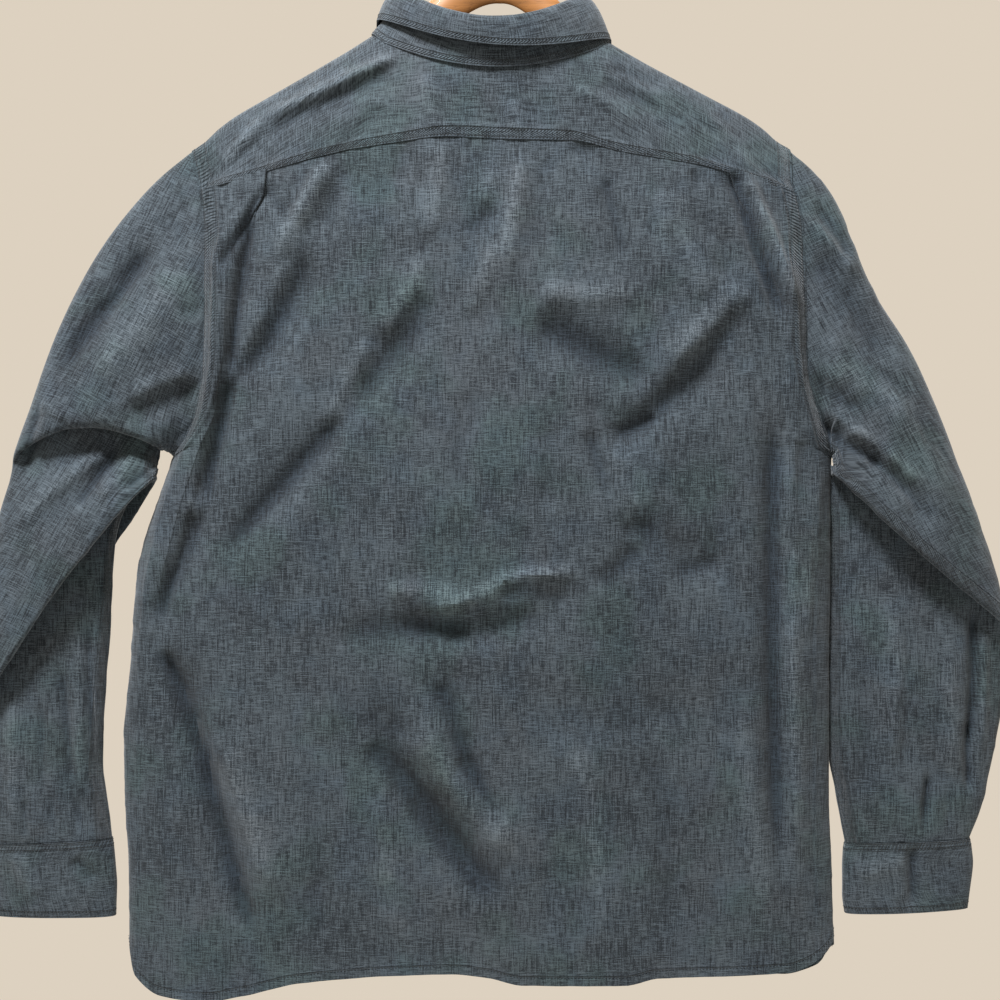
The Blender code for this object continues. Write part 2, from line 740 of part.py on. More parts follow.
def yoke_rim():
    """The outside of the yoke, and which way each point of it looks across its seam."""
    top = back_sheet()[0]
    sides, pleat = len(SIDE_SHARES), 7
    left_mid = (top[sides] + top[sides + pleat - 1]) / 2
    right_mid = (top[-sides - 1] + top[-sides - pleat]) / 2
    seam_line = np.concatenate(
        [top[1:sides], left_mid[None], top[sides + pleat:-sides - pleat], right_mid[None], top[-sides:-1]]
    )
    left, right = over_shoulder("left"), over_shoulder("right")[::-1]
    rim = np.concatenate([left, seam_line, right])
    looks = np.zeros_like(rim)
    looks[:, 2] = -1
    looks[: len(left)] = (-1, 0, 0)
    looks[-len(right):] = (1, 0, 0)
    looks[len(left) - 1] = (-1, 0, -1)
    looks[-len(right)] = (1, 0, -1)
    return rim, looks


def yoke_sheet():
    """The yoke from the neck seam out to its rim, and which way the rim looks."""
    rim, looks = yoke_rim()
    turned = 2 * CORNER_STEPS
    flat = len(rim) - 1 - 2 * turned
    angles = np.concatenate(
        [
            np.linspace(-NECK_YOKE_FRONT, -NECK_YOKE_BACK, turned + 1)[:-1],
            np.linspace(-NECK_YOKE_BACK, NECK_YOKE_BACK, flat + 1),
            np.linspace(NECK_YOKE_BACK, NECK_YOKE_FRONT, turned + 1)[1:],
        ]
    )
    inner = neck(angles)
    out = np.linspace(0, 1, YOKE_ROWS)[:, None]
    points = mix(inner[None], rim[None], out[..., None])
    # The ridge follows the bowed shoulder line, and the seams stay straight.
    reach = np.abs(points[..., 0] - NECK_CENTRE) - NECK_HALF_WIDTH
    straight = mix(SHOULDER["drop"][0], SHOULDER["drop"][-1], reach / SHOULDER["out"][-1])
    bowed = smooth(reach, SHOULDER["out"], SHOULDER["drop"]) - straight
    ridge = np.exp(-((points[..., 1] / RIDGE_WIDTH) ** 2)) * (reach > 0) * (out < 1)
    ridge[:, [0, -1]] = 0
    points[..., 2] -= bowed * ridge
    lifted = relief(points[..., 0], drops(points), YOKE_FOLDS) * np.sin(math.pi * out) ** 0.5
    points[..., 1] -= lifted * ease(-points[..., 1] / YOKE_FOLD_MARGIN)
    return points, looks


def make_yoke(cloth):
    points, looks = yoke_sheet()
    normals = sheet_normals(points)
    seam(points, normals, "bottom", looks)
    for edge in ("left", "right"):
        seam(points, normals, edge, (0, 0.3, -1))
    wall("yoke", points, cloth, normals=normals)


# ---------------------------------------------------------------- the fronts

FRONT_SHARES = np.concatenate([[0, 0.03, 0.09, 0.17, 0.27], np.linspace(0.38, 1, 8)])
FRONT_ROWS_BELOW = 13
SHOULDER_SHARE = 0.56
NECK_REACH = 0.09
FRONT_FOLD_MARGIN = (0.12, 0.84, 0.1, 0.05)
FRONT_LAP = (0.6, 0.2)


def front_rows():
    return panel_rows(YOKE_FRONT_CORNER, FRONT_STEPS, FRONT_ROWS_BELOW)


def front_sheet(side):
    """One front, with columns from its side seam to its centre edge."""
    sign = -1 if side == "left" else 1
    across, down = FRONT_SHARES[None, :], front_rows()[:, None]
    edge = body_edge(side, down[:, 0], 1, YOKE_FRONT_CORNER, FRONT_HEM["drop"][0])[:, None]
    centre = -sign * FRONT_OVERLAP
    shoulder = neck(np.array(sign * NECK_YOKE_FRONT))
    on_seam = np.clip(across[0] / SHOULDER_SHARE, 0, 1)[:, None]
    round_neck = np.clip((across[0] - SHOULDER_SHARE) / (1 - SHOULDER_SHARE), 0, 1)
    past_centre = math.asin(abs(centre - NECK_CENTRE) / NECK_HALF_WIDTH)
    curve = neck(sign * mix(NECK_YOKE_FRONT, math.pi + past_centre, round_neck))
    top = np.where((across[0] > SHOULDER_SHARE)[:, None], curve, mix(edge[0], shoulder, on_seam))
    plain_x = mix(edge[..., 0], centre, across)
    x = plain_x + (top[:, 0] - plain_x[0]) * (1 - down) ** 3
    hem = smooth(across[0], FRONT_HEM["across"], FRONT_HEM["drop"])
    level = drops(edge) + 0 * across
    drop = level + (drops(top) - level[0]) * (1 - down) + (hem - level[-1]) * down**HEM_REACH
    deep = smooth(drop, DEPTHS["drop"], DEPTHS["front"])
    y = rounded_depth(np.clip(np.abs(x / edge[..., 0]), 0, 1), edge[..., 1], deep)
    y = y + (top[:, 1] - y[0]) * np.exp(-((down / NECK_REACH) ** 2))
    at_side, at_placket, fading, at_top = FRONT_FOLD_MARGIN
    inside = ease(across / at_side) * ease((at_placket - across) / fading) * ease(down / at_top)
    y = y + relief(x, drop, FRONT_FOLDS) * inside
    if side == "left":
        y = y + (CLOTH + LAP_GAP) * ease((across - FRONT_LAP[0]) / FRONT_LAP[1])
    return place(x, y, drop)


def facing_out(side, points):
    """The grid turned so that its columns go to the right when it is seen from the front."""
    return points[:, ::-1] if side == "left" else points


def make_fronts(cloth):
    for side in ("left", "right"):
        points = facing_out(side, front_sheet(side)).copy()
        normals = sheet_normals(points)
        seam_columns = FRONT_SHARES <= SHOULDER_SHARE
        looks = np.where(seam_columns[:, None], (0, -0.3, 1), (0, 0, 1.0))
        seam(points, normals, "top", facing_out(side, looks[None])[0])
        side_edge = "right" if side == "left" else "left"
        seam(points, normals, side_edge, edge_crossing(side, front_rows(), 1))
        clear_underarm(points, side_edge, front_rows(), side)
        wall(f"front_{side}", points, cloth, normals=normals)


def placket_sheet():
    """A strip on the left front, made from that front's own points, moved out."""
    front = front_sheet("left")
    normals = facing_out("left", sheet_normals(facing_out("left", front)))
    front = front + normals * (CLOTH / 2 + SEAM_GAP + PLACKET_DEPTH / 2)
    x = np.linspace(FRONT_OVERLAP - PLACKET_INSET, FRONT_OVERLAP - PLACKET_WIDTH, 4)
    rows = [
        np.stack([np.interp(x, line[:, 0], line[:, k]) for k in range(3)], axis=-1) for line in front
    ]
    points = np.array(rows)
    points[..., 0] = x
    points[0, :, 2] -= PLACKET_BELOW_NECK
    return points


def make_placket(cloth):
    wall("front_placket", placket_sheet(), cloth, PLACKET_DEPTH)


# ---------------------------------------------------------------- the collar


def collar_ring(angle, size):
    """A ring of the collar, which dips at the back and falls to the front."""
    side, behind = np.sin(angle), np.cos(angle)
    back = behind > 0
    half_width = size["half_width"] + size["widen"] * np.clip(-behind, 0, 1)
    front = np.abs(behind)
    y = np.where(back, -size["back"] * behind, size["front"] * front**COLLAR_FRONT_ROUND)
    drop = np.where(back, size["dip"] * behind**2, size["fall"] * front**COLLAR_FRONT_FALL)
    drop = drop + size["drop"] + size["tilt"] * side
    return place(size["centre"] + half_width * side, y, drop)


def stand_sheet():
    """The band round the neck, from its top edge down to the neck seam."""
    angle = np.linspace(-math.pi - STAND_LAP, math.pi + STAND_LAP, STAND_COLUMNS)[None, :]
    down = np.array(STAND_ROWS)[:, None, None]
    # The stand's lower edge lies outside the neck seam at the back, and on it elsewhere.
    base = neck(angle)
    behind = np.clip(np.cos(angle), 0, 1)
    base[..., 1] -= STAND_OUTSIDE * behind**0.5
    base[..., 2] += mix(STAND_ABOVE_SEAM, -STAND_BELOW_SEAM, behind**4)
    points = mix(collar_ring(angle, STAND_TOP), base, down)
    # The left end laps over the right one at the front.
    lap = ease((-angle - STAND_LAP_START) / STAND_LAP_EASE)
    points[..., 1] += (COLLAR_CLOTH + LAP_GAP) * lap
    return points


def leaf_sheet():
    """The leaf, which rolls over the top of the stand and falls outside it."""
    angle = np.linspace(-LEAF_END, LEAF_END, LEAF_COLUMNS)[None, :]
    down = np.array(LEAF_ROWS)[:, None, None]
    start = collar_ring(angle, STAND_TOP)
    behind = np.clip(np.cos(angle), 0, 1)
    start[..., 2] += COLLAR_CLOTH / 2 + LAP_GAP + LEAF_CLEAR * (1 - behind**2)
    roll = start + unit(np.stack([np.sin(angle), -np.cos(angle), 0 * angle], axis=-1)) * LEAF_ROLL[0]
    roll[..., 2] += LEAF_ROLL[1]
    end = collar_ring(angle, LEAF_EDGE)
    return (1 - down) ** 2 * start + 2 * down * (1 - down) * roll + down**2 * end


def make_collar(cloth):
    wall("collar_stand", stand_sheet(), cloth, COLLAR_CLOTH)
    wall("collar_leaf", leaf_sheet(), cloth, COLLAR_CLOTH)


# ---------------------------------------------------------------- sleeves and cuffs


def rings(rows, turns):
    """Rings of points round a sleeve. A turn is 0 at the outer edge, 0.25 on the back, 0.5 inside."""
    value = {name: column[:, None] for name, column in rows.items()}
    angle = TURN * turns[None, :]
    across = (1 - np.cos(angle)) / 2
    back = np.clip(np.sin(angle), 0, 1)
    front = np.clip(-np.sin(angle), 0, 1)
    x = mix(value["outer_x"], value["inner_x"], across) + value["shift"] * back**2
    drop = mix(value["outer_drop"], value["inner_drop"], across) - value["rise"] * back**2
    y = mix(value["outer_y"], value["inner_y"], across)
    y = y - value["back"] * back**SLEEVE_ROUND + value["front"] * front**SLEEVE_ROUND
    return place(x, y, drop)


def sleeve_turns(side):
    """Shares of the armhole and the layer that each column starts from, in order round the sleeve."""
    corner = YOKE_BACK_CORNER[side]
    share = np.linspace(0, 1, CORNER_STEPS + 1)
    back = np.concatenate([corner * share**2, mix(corner, 1, armhole_steps(MEAN_CORNER, BACK_STEPS)[1:])])
    front_below = mix(YOKE_FRONT_CORNER, 1, armhole_steps(YOKE_FRONT_CORNER, FRONT_STEPS)[1:-1])
    front = np.concatenate([YOKE_FRONT_CORNER * share[1:] ** 2, front_below])
    down = np.concatenate([back, front[::-1]])
    face = np.concatenate([np.full(len(back), -1), np.full(len(front), 1)])
    if side == "right":
        down, face = np.roll(down[::-1], 1), np.roll(face[::-1], 1)
    return down, face


def sleeve_sheet(side):
    rows = LEFT_SLEEVE if side == "left" else RIGHT_SLEEVE
    down, face = sleeve_turns(side)
    seam_ring = np.where((face < 0)[:, None], armhole(side, down, -1), armhole(side, down, 1))
    points = np.concatenate([seam_ring[None], rings(rows, -face * ring_angle(down) / TURN)])
    layer = ((face < 0) * np.sin(ring_angle(down)))[None, :] * np.ones((len(points), 1))
    layer[0] = 0
    layer[BEFORE_FOREARM:] = 0
    points[..., 1] -= relief(points[..., 0], drops(points), SLEEVE_FOLDS) * layer
    return points


def make_sleeves(cloth):
    for side in ("left", "right"):
        points = sleeve_sheet(side)
        normals = sheet_normals(points, around=True)
        inward = (1.0, 0, 0) if side == "left" else (-1.0, 0, 0)
        seam(points, normals, "top", inward, around=True)
        wall(f"sleeve_{side}", points, cloth, around=True, normals=normals)


def cuff_sheet(side):
    """A band whose ends lap over each other on the front of the wrist."""
    rows = LEFT_CUFF if side == "left" else RIGHT_CUFF
    turns = np.linspace(CUFF_START, CUFF_START + 1 + CUFF_LAP, CUFF_COLUMNS)
    points = rings(rows, turns)
    over = ease((turns - CUFF_START - 1) / CUFF_LAP_EASE + 1)
    points[..., 1] += (CUFF_CLOTH + LAP_GAP) * over
    return points if side == "left" else points[:, ::-1]


def make_cuffs(cloth):
    for side in ("left", "right"):
        wall(f"cuff_{side}", cuff_sheet(side), cloth, CUFF_CLOTH)


# ---------------------------------------------------------------- strips and buttons


def make_sleeve_plackets(cloth):
    """The strip over each sleeve's slit, made from the sleeve's own rings, moved out."""
    length, width = SLEEVE_PLACKET
    for side, rows in (("left", LEFT_SLEEVE), ("right", RIGHT_SLEEVE)):
        forearm = {name: column[-FOREARM_ROWS:] for name, column in rows.items()}
        end = forearm["inner_drop"][-1]
        down = np.linspace(end - length, end, SLEEVE_PLACKET_ROWS)
        cut = {name: np.interp(down, forearm["inner_drop"], column) for name, column in forearm.items()}
        flat = abs(rows["outer_x"][-1] - rows["inner_x"][-1])
        half_turn = math.asin(width / flat) / TURN
        turns = np.linspace(SLEEVE_PLACKET_TURN - half_turn, SLEEVE_PLACKET_TURN + half_turn, 4)
        points = rings(cut, turns)
        points = points if side == "left" else points[:, ::-1]
        points = points + sheet_normals(points) * (CLOTH + STRIP_CLEAR)
        wall(f"sleeve_placket_{side}", points, cloth)


def button(name, centre, facing, shell):
    """A round button with a rim round a shallow dish, its back on `centre`."""
    facing = unit(np.asarray(facing, float))
    side = unit(np.cross((0.0, 0.0, 1.0), facing))
    up = np.cross(facing, side)
    radius = BUTTON_ACROSS / 2
    turn = TURN * np.arange(BUTTON_SIDES) / BUTTON_SIDES
    circle = np.cos(turn)[:, None] * side + np.sin(turn)[:, None] * up
    rows = [
        centre + facing * BUTTON_THICK * height + radius * share * circle
        for share, height in BUTTON_PROFILE
    ]
    solid_of_rings(name, np.array(rows), shell)


def make_buttons(shell):
    """Buttons down the placket, one on the collar's stand and one on each cuff."""
    strip = placket_sheet()
    out = PLACKET_DEPTH / 2 + LAP_GAP
    for number in range(FRONT_BUTTONS):
        drop = mix(FIRST_BUTTON, LAST_BUTTON, number / (FRONT_BUTTONS - 1))
        row = int(np.argmin(np.abs(drops(strip)[:, 1] - drop)))
        y = np.interp(drop, drops(strip)[:, 1], strip[:, 1:3, 1].mean(axis=1))
        button(f"button_front_{number + 1}", place(0.0, y + out, drop), sheet_normals(strip)[row, 1], shell)
    stand = stand_sheet()
    at, facing = (stand[2, 1] + stand[1, 1]) / 2, sheet_normals(stand)[1, 1]
    button("button_stand", at + facing * (COLLAR_CLOTH / 2 + LAP_GAP), facing, shell)
    for side in ("left", "right"):
        cuff = cuff_sheet(side)
        column = -3 if side == "left" else 2
        at = (cuff[1, column] + cuff[2, column]) / 2
        facing = sheet_normals(cuff)[1, column]
        button(f"button_cuff_{side}", at + facing * (CUFF_CLOTH / 2 + LAP_GAP), facing, shell)


# ---------------------------------------------------------------- hanger


def solid_of_rings(name, points, finish):
    """A closed solid through rings of points, with flat ends."""
    rows, columns = points.shape[:2]
    faces = [
        (r * columns + c, r * columns + (c + 1) % columns,
         (r + 1) * columns + (c + 1) % columns, (r + 1) * columns + c)
        for r in range(rows - 1)
        for c in range(columns)
    ]
    faces.append(tuple(reversed(range(columns))))
    faces.append(tuple((rows - 1) * columns + c for c in range(columns)))
    return mesh_object(name, points.reshape(-1, 3), faces, finish)


def hanger_top(x):
    """The wood's upper edge: the raised middle, and arms that run just under the yoke's ridge."""
    yoke, _ = yoke_sheet()
    ridge = np.concatenate([yoke[::-1, CORNER_STEPS], yoke[:, -1 - CORNER_STEPS]])
    under = np.interp(x, ridge[:, 0], drops(ridge)) + CLOTH / 2 + HANGER_CLEAR
    side_neck = NECK_HALF_WIDTH + NECK_CENTRE * np.sign(x) + HANGER_SHOULDER
    return mix(-HANGER_CROWN, under, ease(np.abs(x) / side_neck))


def make_hanger(wood):
    """A flat wooden bar with an arched underside, rounded edges and slimmer tips."""
    low, high = HANGER_SPAN
    share = np.linspace(-1, 1, HANGER_SECTIONS)
    x = np.where(share < 0, -low * share, high * share)
    top = hanger_top(x)
    plain = mix(*HANGER_ARM_DEPTH, np.abs(share))
    arch = HANGER_CROWN - HANGER_ARCH - HANGER_ARM_DEPTH[0]
    deep = plain + arch * np.exp(-((x / HANGER_ARCH_WIDTH) ** 2))
    tip = ease((1 - np.abs(share)) / HANGER_TIP)
    deep = deep * mix(HANGER_TIP_DEPTH, 1.0, tip)
    half = mix(*HANGER_HALF_THICK, np.abs(share)) * mix(HANGER_TIP_THICK, 1.0, tip)
    turn = TURN * np.arange(HANGER_SIDES) / HANGER_SIDES
    y, z = np.sign(np.cos(turn)) * np.abs(np.cos(turn)) ** HANGER_ROUND, np.sin(turn)
    drop = (top + deep / 2)[:, None] - z * deep[:, None] / 2
    solid_of_rings("hanger_wood", place(x[:, None], y * half[:, None], drop), wood)


def make_hook(steel):
    """A wire hook: most of a circle round the rail, then a curve back to the shank in the wood."""
    bend = HOOK_INSIDE + HOOK_WIRE
    centre = HOOK_WIRE - bend
    turn = np.radians(np.linspace(*HOOK_SWEEP, HOOK_STEPS[0]))
    circle = np.stack([bend * np.cos(turn), centre + bend * np.sin(turn)], axis=-1)
    away = np.array([-math.sin(turn[-1]), math.cos(turn[-1])])
    start, end = circle[-1], np.array([0.0, HOOK_SHANK])
    t = np.linspace(0, 1, HOOK_STEPS[1])[1:, None]
    one, two = start + away * HOOK_PULL, end + np.array([0.0, HOOK_PULL])
    bent = (1 - t) ** 3 * start + 3 * t * (1 - t) ** 2 * one + 3 * t**2 * (1 - t) * two + t**3 * end
    foot = NECK_LEVEL + HANGER_CROWN + SEAM_GAP
    path = np.concatenate([circle, bent, [[0.0, foot]]])
    path = np.stack([path[:, 0], 0 * path[:, 0], path[:, 1]], axis=-1)
    forward = tangents(path, 0)
    forward[-1] = (0, 0, -1)
    side = np.cross((0.0, 1.0, 0.0), forward)
    turn = TURN * np.arange(HOOK_SIDES)[None, :, None] / HOOK_SIDES
    round_wire = np.cos(turn) * side[:, None] + np.sin(turn) * np.array((0, 1.0, 0))
    solid_of_rings("hanger_hook", path[:, None] + HOOK_WIRE * round_wire, steel)


def main():
    for old in list(bpy.data.objects):
        bpy.data.objects.remove(old)
    cloth = material("chambray", (0.07, 0.105, 0.135), 0.9)
    shell = material("button_shell", (0.72, 0.7, 0.64), 0.35)
    wood = material("hanger_wood", (0.58, 0.26, 0.08), 0.45)
    steel = material("hook_steel", (0.6, 0.6, 0.62), 0.3, 1.0)
    make_back(cloth)
    make_yoke(cloth)
    make_fronts(cloth)
    make_placket(cloth)
    make_collar(cloth)
    make_sleeves(cloth)
    make_cuffs(cloth)
    make_sleeve_plackets(cloth)
    make_buttons(shell)
    make_hanger(wood)
    make_hook(steel)


main()
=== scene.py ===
import json
import math

import bpy
import mathutils
import numpy as np
from bpy.props import FloatProperty, FloatVectorProperty, IntProperty, PointerProperty
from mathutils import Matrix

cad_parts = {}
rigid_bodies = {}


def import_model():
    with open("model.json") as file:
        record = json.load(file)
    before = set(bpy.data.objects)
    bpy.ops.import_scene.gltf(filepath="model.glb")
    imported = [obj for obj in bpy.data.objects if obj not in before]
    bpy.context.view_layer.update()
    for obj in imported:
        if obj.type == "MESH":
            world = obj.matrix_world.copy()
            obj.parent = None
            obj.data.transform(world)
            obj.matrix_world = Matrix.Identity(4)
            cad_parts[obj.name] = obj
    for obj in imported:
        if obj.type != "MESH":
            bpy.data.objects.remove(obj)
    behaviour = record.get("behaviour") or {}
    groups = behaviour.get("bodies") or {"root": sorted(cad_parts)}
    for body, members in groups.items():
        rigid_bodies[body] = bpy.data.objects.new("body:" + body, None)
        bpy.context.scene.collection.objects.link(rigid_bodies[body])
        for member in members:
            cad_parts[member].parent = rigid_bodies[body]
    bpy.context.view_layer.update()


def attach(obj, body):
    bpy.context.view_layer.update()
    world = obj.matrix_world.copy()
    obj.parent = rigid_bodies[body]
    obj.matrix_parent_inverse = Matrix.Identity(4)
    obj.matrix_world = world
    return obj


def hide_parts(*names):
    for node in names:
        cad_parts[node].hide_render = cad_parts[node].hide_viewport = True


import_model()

bl_info = {
    "name": "Chambray shirt on a hanger",
    "version": (1, 0, 0),
    "blender": (4, 5, 0),
    "location": "3D View > Sidebar > Shirt",
    "description": "Cloth, sewing, buttons, hanger and stage of a long-sleeved chambray shirt",
    "category": "Object",
}

MM = 0.001
FLOOR_LEVEL = -1.46
TURN = 2 * math.pi

# Tables and grids are in millimetres, +X to the right of someone who looks at the shirt's back and +Y
# to the shirt's front. A `drop` is measured downwards from the side neck points, which lie this far
# from the origin in the hook.
NECK_LEVEL = -174.0

# How far a piece stands off the one it lies on.
LAP_GAP = 0.4

# The hanger and its hook. Heights are above or below the origin in the hook.
HANGER_CROWN = 82.0
HANGER_ARCH = 36.0
HANGER_SPAN = (-214.0, 212.0)
HANGER_HALF_THICK = (6.0, 6.5)
HANGER_ARM_DEPTH = (42.0, 24.0)
HANGER_ARCH_WIDTH = 60.0
HANGER_SHOULDER = 3.0
HANGER_CLEAR = 1.0
HANGER_TIP = 0.08
HANGER_TIP_DEPTH = 0.45
HANGER_TIP_THICK = 0.5
HANGER_ROUND = 1.5
HOOK_WIRE = 1.9
HOOK_INSIDE = 18.0
HOOK_SWEEP = (-25.0, 215.0)
HOOK_SHANK = -58.0
HOOK_PULL = 16.0

# The neck seam, which lies a little to the left of the hook.
NECK_CENTRE = -8.0
NECK_HALF_WIDTH = 103.0
NECK_BACK = 32.0
NECK_FRONT = 27.0
NECK_BACK_DROP = 28.0
NECK_FRONT_DROP = 72.0
NECK_SIDE_RISE = 3.0
NECK_TILT = 3.0
NECK_YOKE_FRONT = math.radians(122)
NECK_YOKE_BACK = math.radians(58)
NECK_BACK_ROUND = 0.75
NECK_FRONT_ROUND = 0.55
NECK_FRONT_FALL = 1.3

# The armhole: where it starts and ends, how deep its ring is, and where the yoke's seams meet it.
ARMHOLE_TOP = {"left": 93.0, "right": 92.0}
ARMHOLE_END = {"left": 358.0, "right": 357.0}
ARMHOLE_BACK = 22.0
ARMHOLE_FRONT = 19.0
ARMHOLE_ROUND = 0.375
ARMHOLE_ROW = 0.35
YOKE_BACK_CORNER = {"left": 0.140, "right": 0.151}
YOKE_FRONT_CORNER = 0.15
SIDE_ROUND = 3.0

# How thick the plain solids of these pieces are, which sets where the pieces on them lie.
BODY_SOLID = 1.2
STAND_SOLID = 1.6
CUFF_SOLID = 1.8

# Where the sewing lies: the width of a felled seam, of the yoke's lower seam and of the hem, how much
# of a felled seam lies between its edge and each of its rows, and how high the thread stands.
FELL = 15.0
YOKE_BAND = 10.0
HEM = 8.4
HEM_THICKER = 1.0
HEM_STITCH = 7.5
NO_HEM = 99.0
NEAR_ROW, FAR_ROW = 0.16, 0.86
THREAD_LIFT = 0.16
# How far a felled edge is carried past its seam, and how far it is raised.
FELL_LAP = (2.0, 1.05)
# How much of a felled seam the sleeve's own seams lie beside the underarm line and above its edge.
UNDERARM_START, EDGE_START = 0.08, 0.15

PLACKET_WIDTH = 34.0
PLACKET_DEPTH = 1.4
PLACKET_INSET = 0.5
PLACKET_GAP = 0.3
PLACKET_BELOW_NECK = 2.0
FRONT_OVERLAP = 17.0
BUTTON_ACROSS = 11.0
FRONT_BUTTONS = 6
FIRST_BUTTON = 140.0
LAST_BUTTON = 660.0
STRIP_CLEAR = 1.2
COLLAR_THICK = 1.5
CUFF_THICK = 1.7
SLEEVE_STRIP_THICK = 1.2


def table(columns, rows):
    """Named columns of numbers, with a row for each section, seam point or fold."""
    names = columns.split()
    filled = [(line.split() + ["0"])[:len(names)] for line in rows.strip().splitlines()]
    return dict(zip(names, np.array(filled, float).T.copy()))


def folds(rows):
    """Folds or creases: three points of a curve, the width, and how far it stands out or sinks in.

    A last number above 0 makes the side to the right of the curve gentler, and below 0 the left side.
    """
    return table("x0 drop0 x1 drop1 x2 drop2 width depth lean", rows)


# The armhole seam, from the shoulder point at 0 to the underarm at 1.
ARMHOLE = table("down left right", """
0.00 -266 250
0.12 -257 249
0.18 -254 254
0.30 -252 258
0.50 -251 259
0.70 -252 260
0.78 -254 264
0.86 -259 271
0.95 -270 280
1.00 -282 287
""")

# The side edges of the body below the underarm.
SIDES = table("drop left right", """
357 -282 287
396 -296 286
431 -308 286
465 -315 286
535 -320 285
605 -326 285
657 -325 285
709 -322 287
785 -321 289
""")

# How far the back and the fronts stand from the plane of the side seams, at the centre line.
DEPTHS = table("drop back front", """
80 31 26
200 34 26
358 34 24
500 33 22
650 30 20
810 26 18
""")

# The seam under the back yoke, from armhole to armhole.
YOKE_SEAM = table("x drop", """
-256 130
-232 124
-196 113
-136 98
-88 90
-48 85
6 87
63 88
102 97
159 106
202 113
242 126
254 132
""")

# The two pleats under the yoke. `edge` is the fold that lies on top, `valley` the fold under it, and
# `lift` how far the outer cloth stands above the rest. Below the lap they part and become a fold.
PLEATS = {
    "left": table("drop edge valley lift", """
112 -199 -213 3.8
131 -201 -208 4.4
150 -211 -209 6
170 -224 -212 8
193 -231 -217 10
226 -232 -221 10
300 -240 -231 10
337 -251 -243 11
394 -271 -256 12
467 -291 -279 7
518 -300 -288 4
600 -296 -280 2
785 -276 -256 0.5
"""),
    "right": table("drop edge valley lift", """
112 195 209 3.8
135 203 206 5
160 216 201 8
180 223 207 10
201 231 215 10.5
234 243 226 9
264 246 238 6
360 252 238 4
523 250 236 4
785 252 236 1
"""),
}

# The back hem, as a share of the width from the left side seam to the right one.
BACK_HEM = table("across drop", """
0.00 785
0.012 809
0.05 823
0.11 826
0.16 821
0.25 808
0.36 802
0.46 800
0.51 803
0.56 810
0.70 810
0.75 804
0.87 803
0.93 802
0.965 796
0.988 786
1.00 776
""")

# The front hems, from the side seam to the centre.
FRONT_HEM = table("across drop", """
0.00 783
0.04 802
0.14 812
0.35 808
0.60 803
1.00 806
""")

# The shoulder line, as a drop by the distance out from the side neck point.
SHOULDER = table("out drop", """
0 -3
27 13
59 30.5
91 48
121 65
143 82
155 92.5
""")

# How many points a fold's curve is read at, and the share of it over which it rises and dies away.
FOLD_STEPS = 25
FOLD_FADE = (0.25, 0.3)

# Soft folds of the back.
BACK_FOLDS = folds("""
-152 108 -164 136 -175 166 13 7
-153 186 -178 246 -224 300 16 -10
-281 520 -250 604 -214 780 19 -12
-262 560 -212 660 -170 760 24 6
-124 545 -65 651 6 740 21 -13
-78 560 -22 640 45 725 20 7
-52 520 -24 600 -4 690 14 -6
-92 480 -14 496 70 454 13 7
-104 506 -30 520 70 484 14 -9
78 342 146 332 214 246 18 -11
96 314 136 300 190 240 17 6
20 240 82 284 150 300 19 -9
24 98 8 190 -20 240 15 5
-52 222 -124 317 -240 452 21 -9
-86 270 -150 372 -226 480 22 6
108 412 150 460 206 440 18 -7
30 560 110 600 190 560 24 -5
""")

# Soft folds of the fronts, with the same x: from the yoke seams, across the waist, and at the hem.
FRONT_FOLDS = folds("""
-150 130 -176 230 -196 330 20 -7
-112 120 -128 230 -150 380 18 5
-230 300 -196 400 -150 480 20 -8
-206 470 -150 560 -110 700 22 -8
-270 560 -240 660 -214 770 19 -8
-84 420 -60 520 -52 640 18 5
144 130 168 220 190 320 20 -7
226 320 180 400 130 450 18 -8
96 380 120 500 110 640 22 -7
190 480 176 600 196 760 20 6
246 520 236 640 240 770 17 -7
""")

# Folds of the yoke: the ridge that the hanger raises on the left, and its fainter twin.
YOKE_FOLDS = folds("""
-100 18 -176 50 -246 116 10 4
86 22 150 46 226 98 12 2.5
""")

# The sleeves, from the armhole to the cuff. `outer` is the edge away from the body and `inner` the one
# beside it, `back` and `front` are how far each layer stands from the line between them, and `rise`
# and `shift` bow the back layer up and to the right at its middle.
SLEEVE_COLUMNS = "outer_x outer_drop inner_x inner_drop outer_y inner_y back front rise shift"
LEFT_SLEEVE = table(SLEEVE_COLUMNS, """
-292 113 -284 357 0 -1 24 18 0 30
-326 152 -286 355 0 -2 27 19 0 24
-351 187 -287 354 0 -3 29 20 3 18
-373 228 -288 353 0 -4 30 21 7 12
-394 280 -289 352 0 -5 31 21 13 6
-412 332 -290 351 0 -6 32 21 20 0
-421 358 -291 350 0 -8 30 22 25 0
-422 362 -292 352 0 -6 26 21 23 0
-423 367 -294 346 0 -3 19 19 46 0
-424 372 -296 348 0 0 15 16 46 0
-426 380 -297 358 0 0 14 15 22 0
-432 400 -298 363 0 -2 20 16 12 0
-441 436 -298 367 0 -4 27 18 6 0
-449 480 -297 370 0 -6 31 20 2 0
-453 530 -297 374 0 -9 32 24 0 -4
-451 582 -298 377 0 -11 30 28 0 -8
-451 586 -300 379 0 -9 26 26 0 -8
-451 590 -306 371 1 -4 17 20 14 -22
-451 594 -312 373 2 1 12 16 14 -22
-451 600 -325 396 3 4 11 14 0 -8
-450 615 -336 430 4 5 13 14 0 0
-449 635 -340 480 4 5 14 14 0 0
-448 652 -343 530 4 5 14 14 0 0
-447 666 -346 580 4 5 14 14 0 0
-446 678 -348 622 4 5 14 13 0 0
-445 687 -344 657 4 5 13 13 0 0
-443 695 -339 690 4 4 11 11 0 0
""")
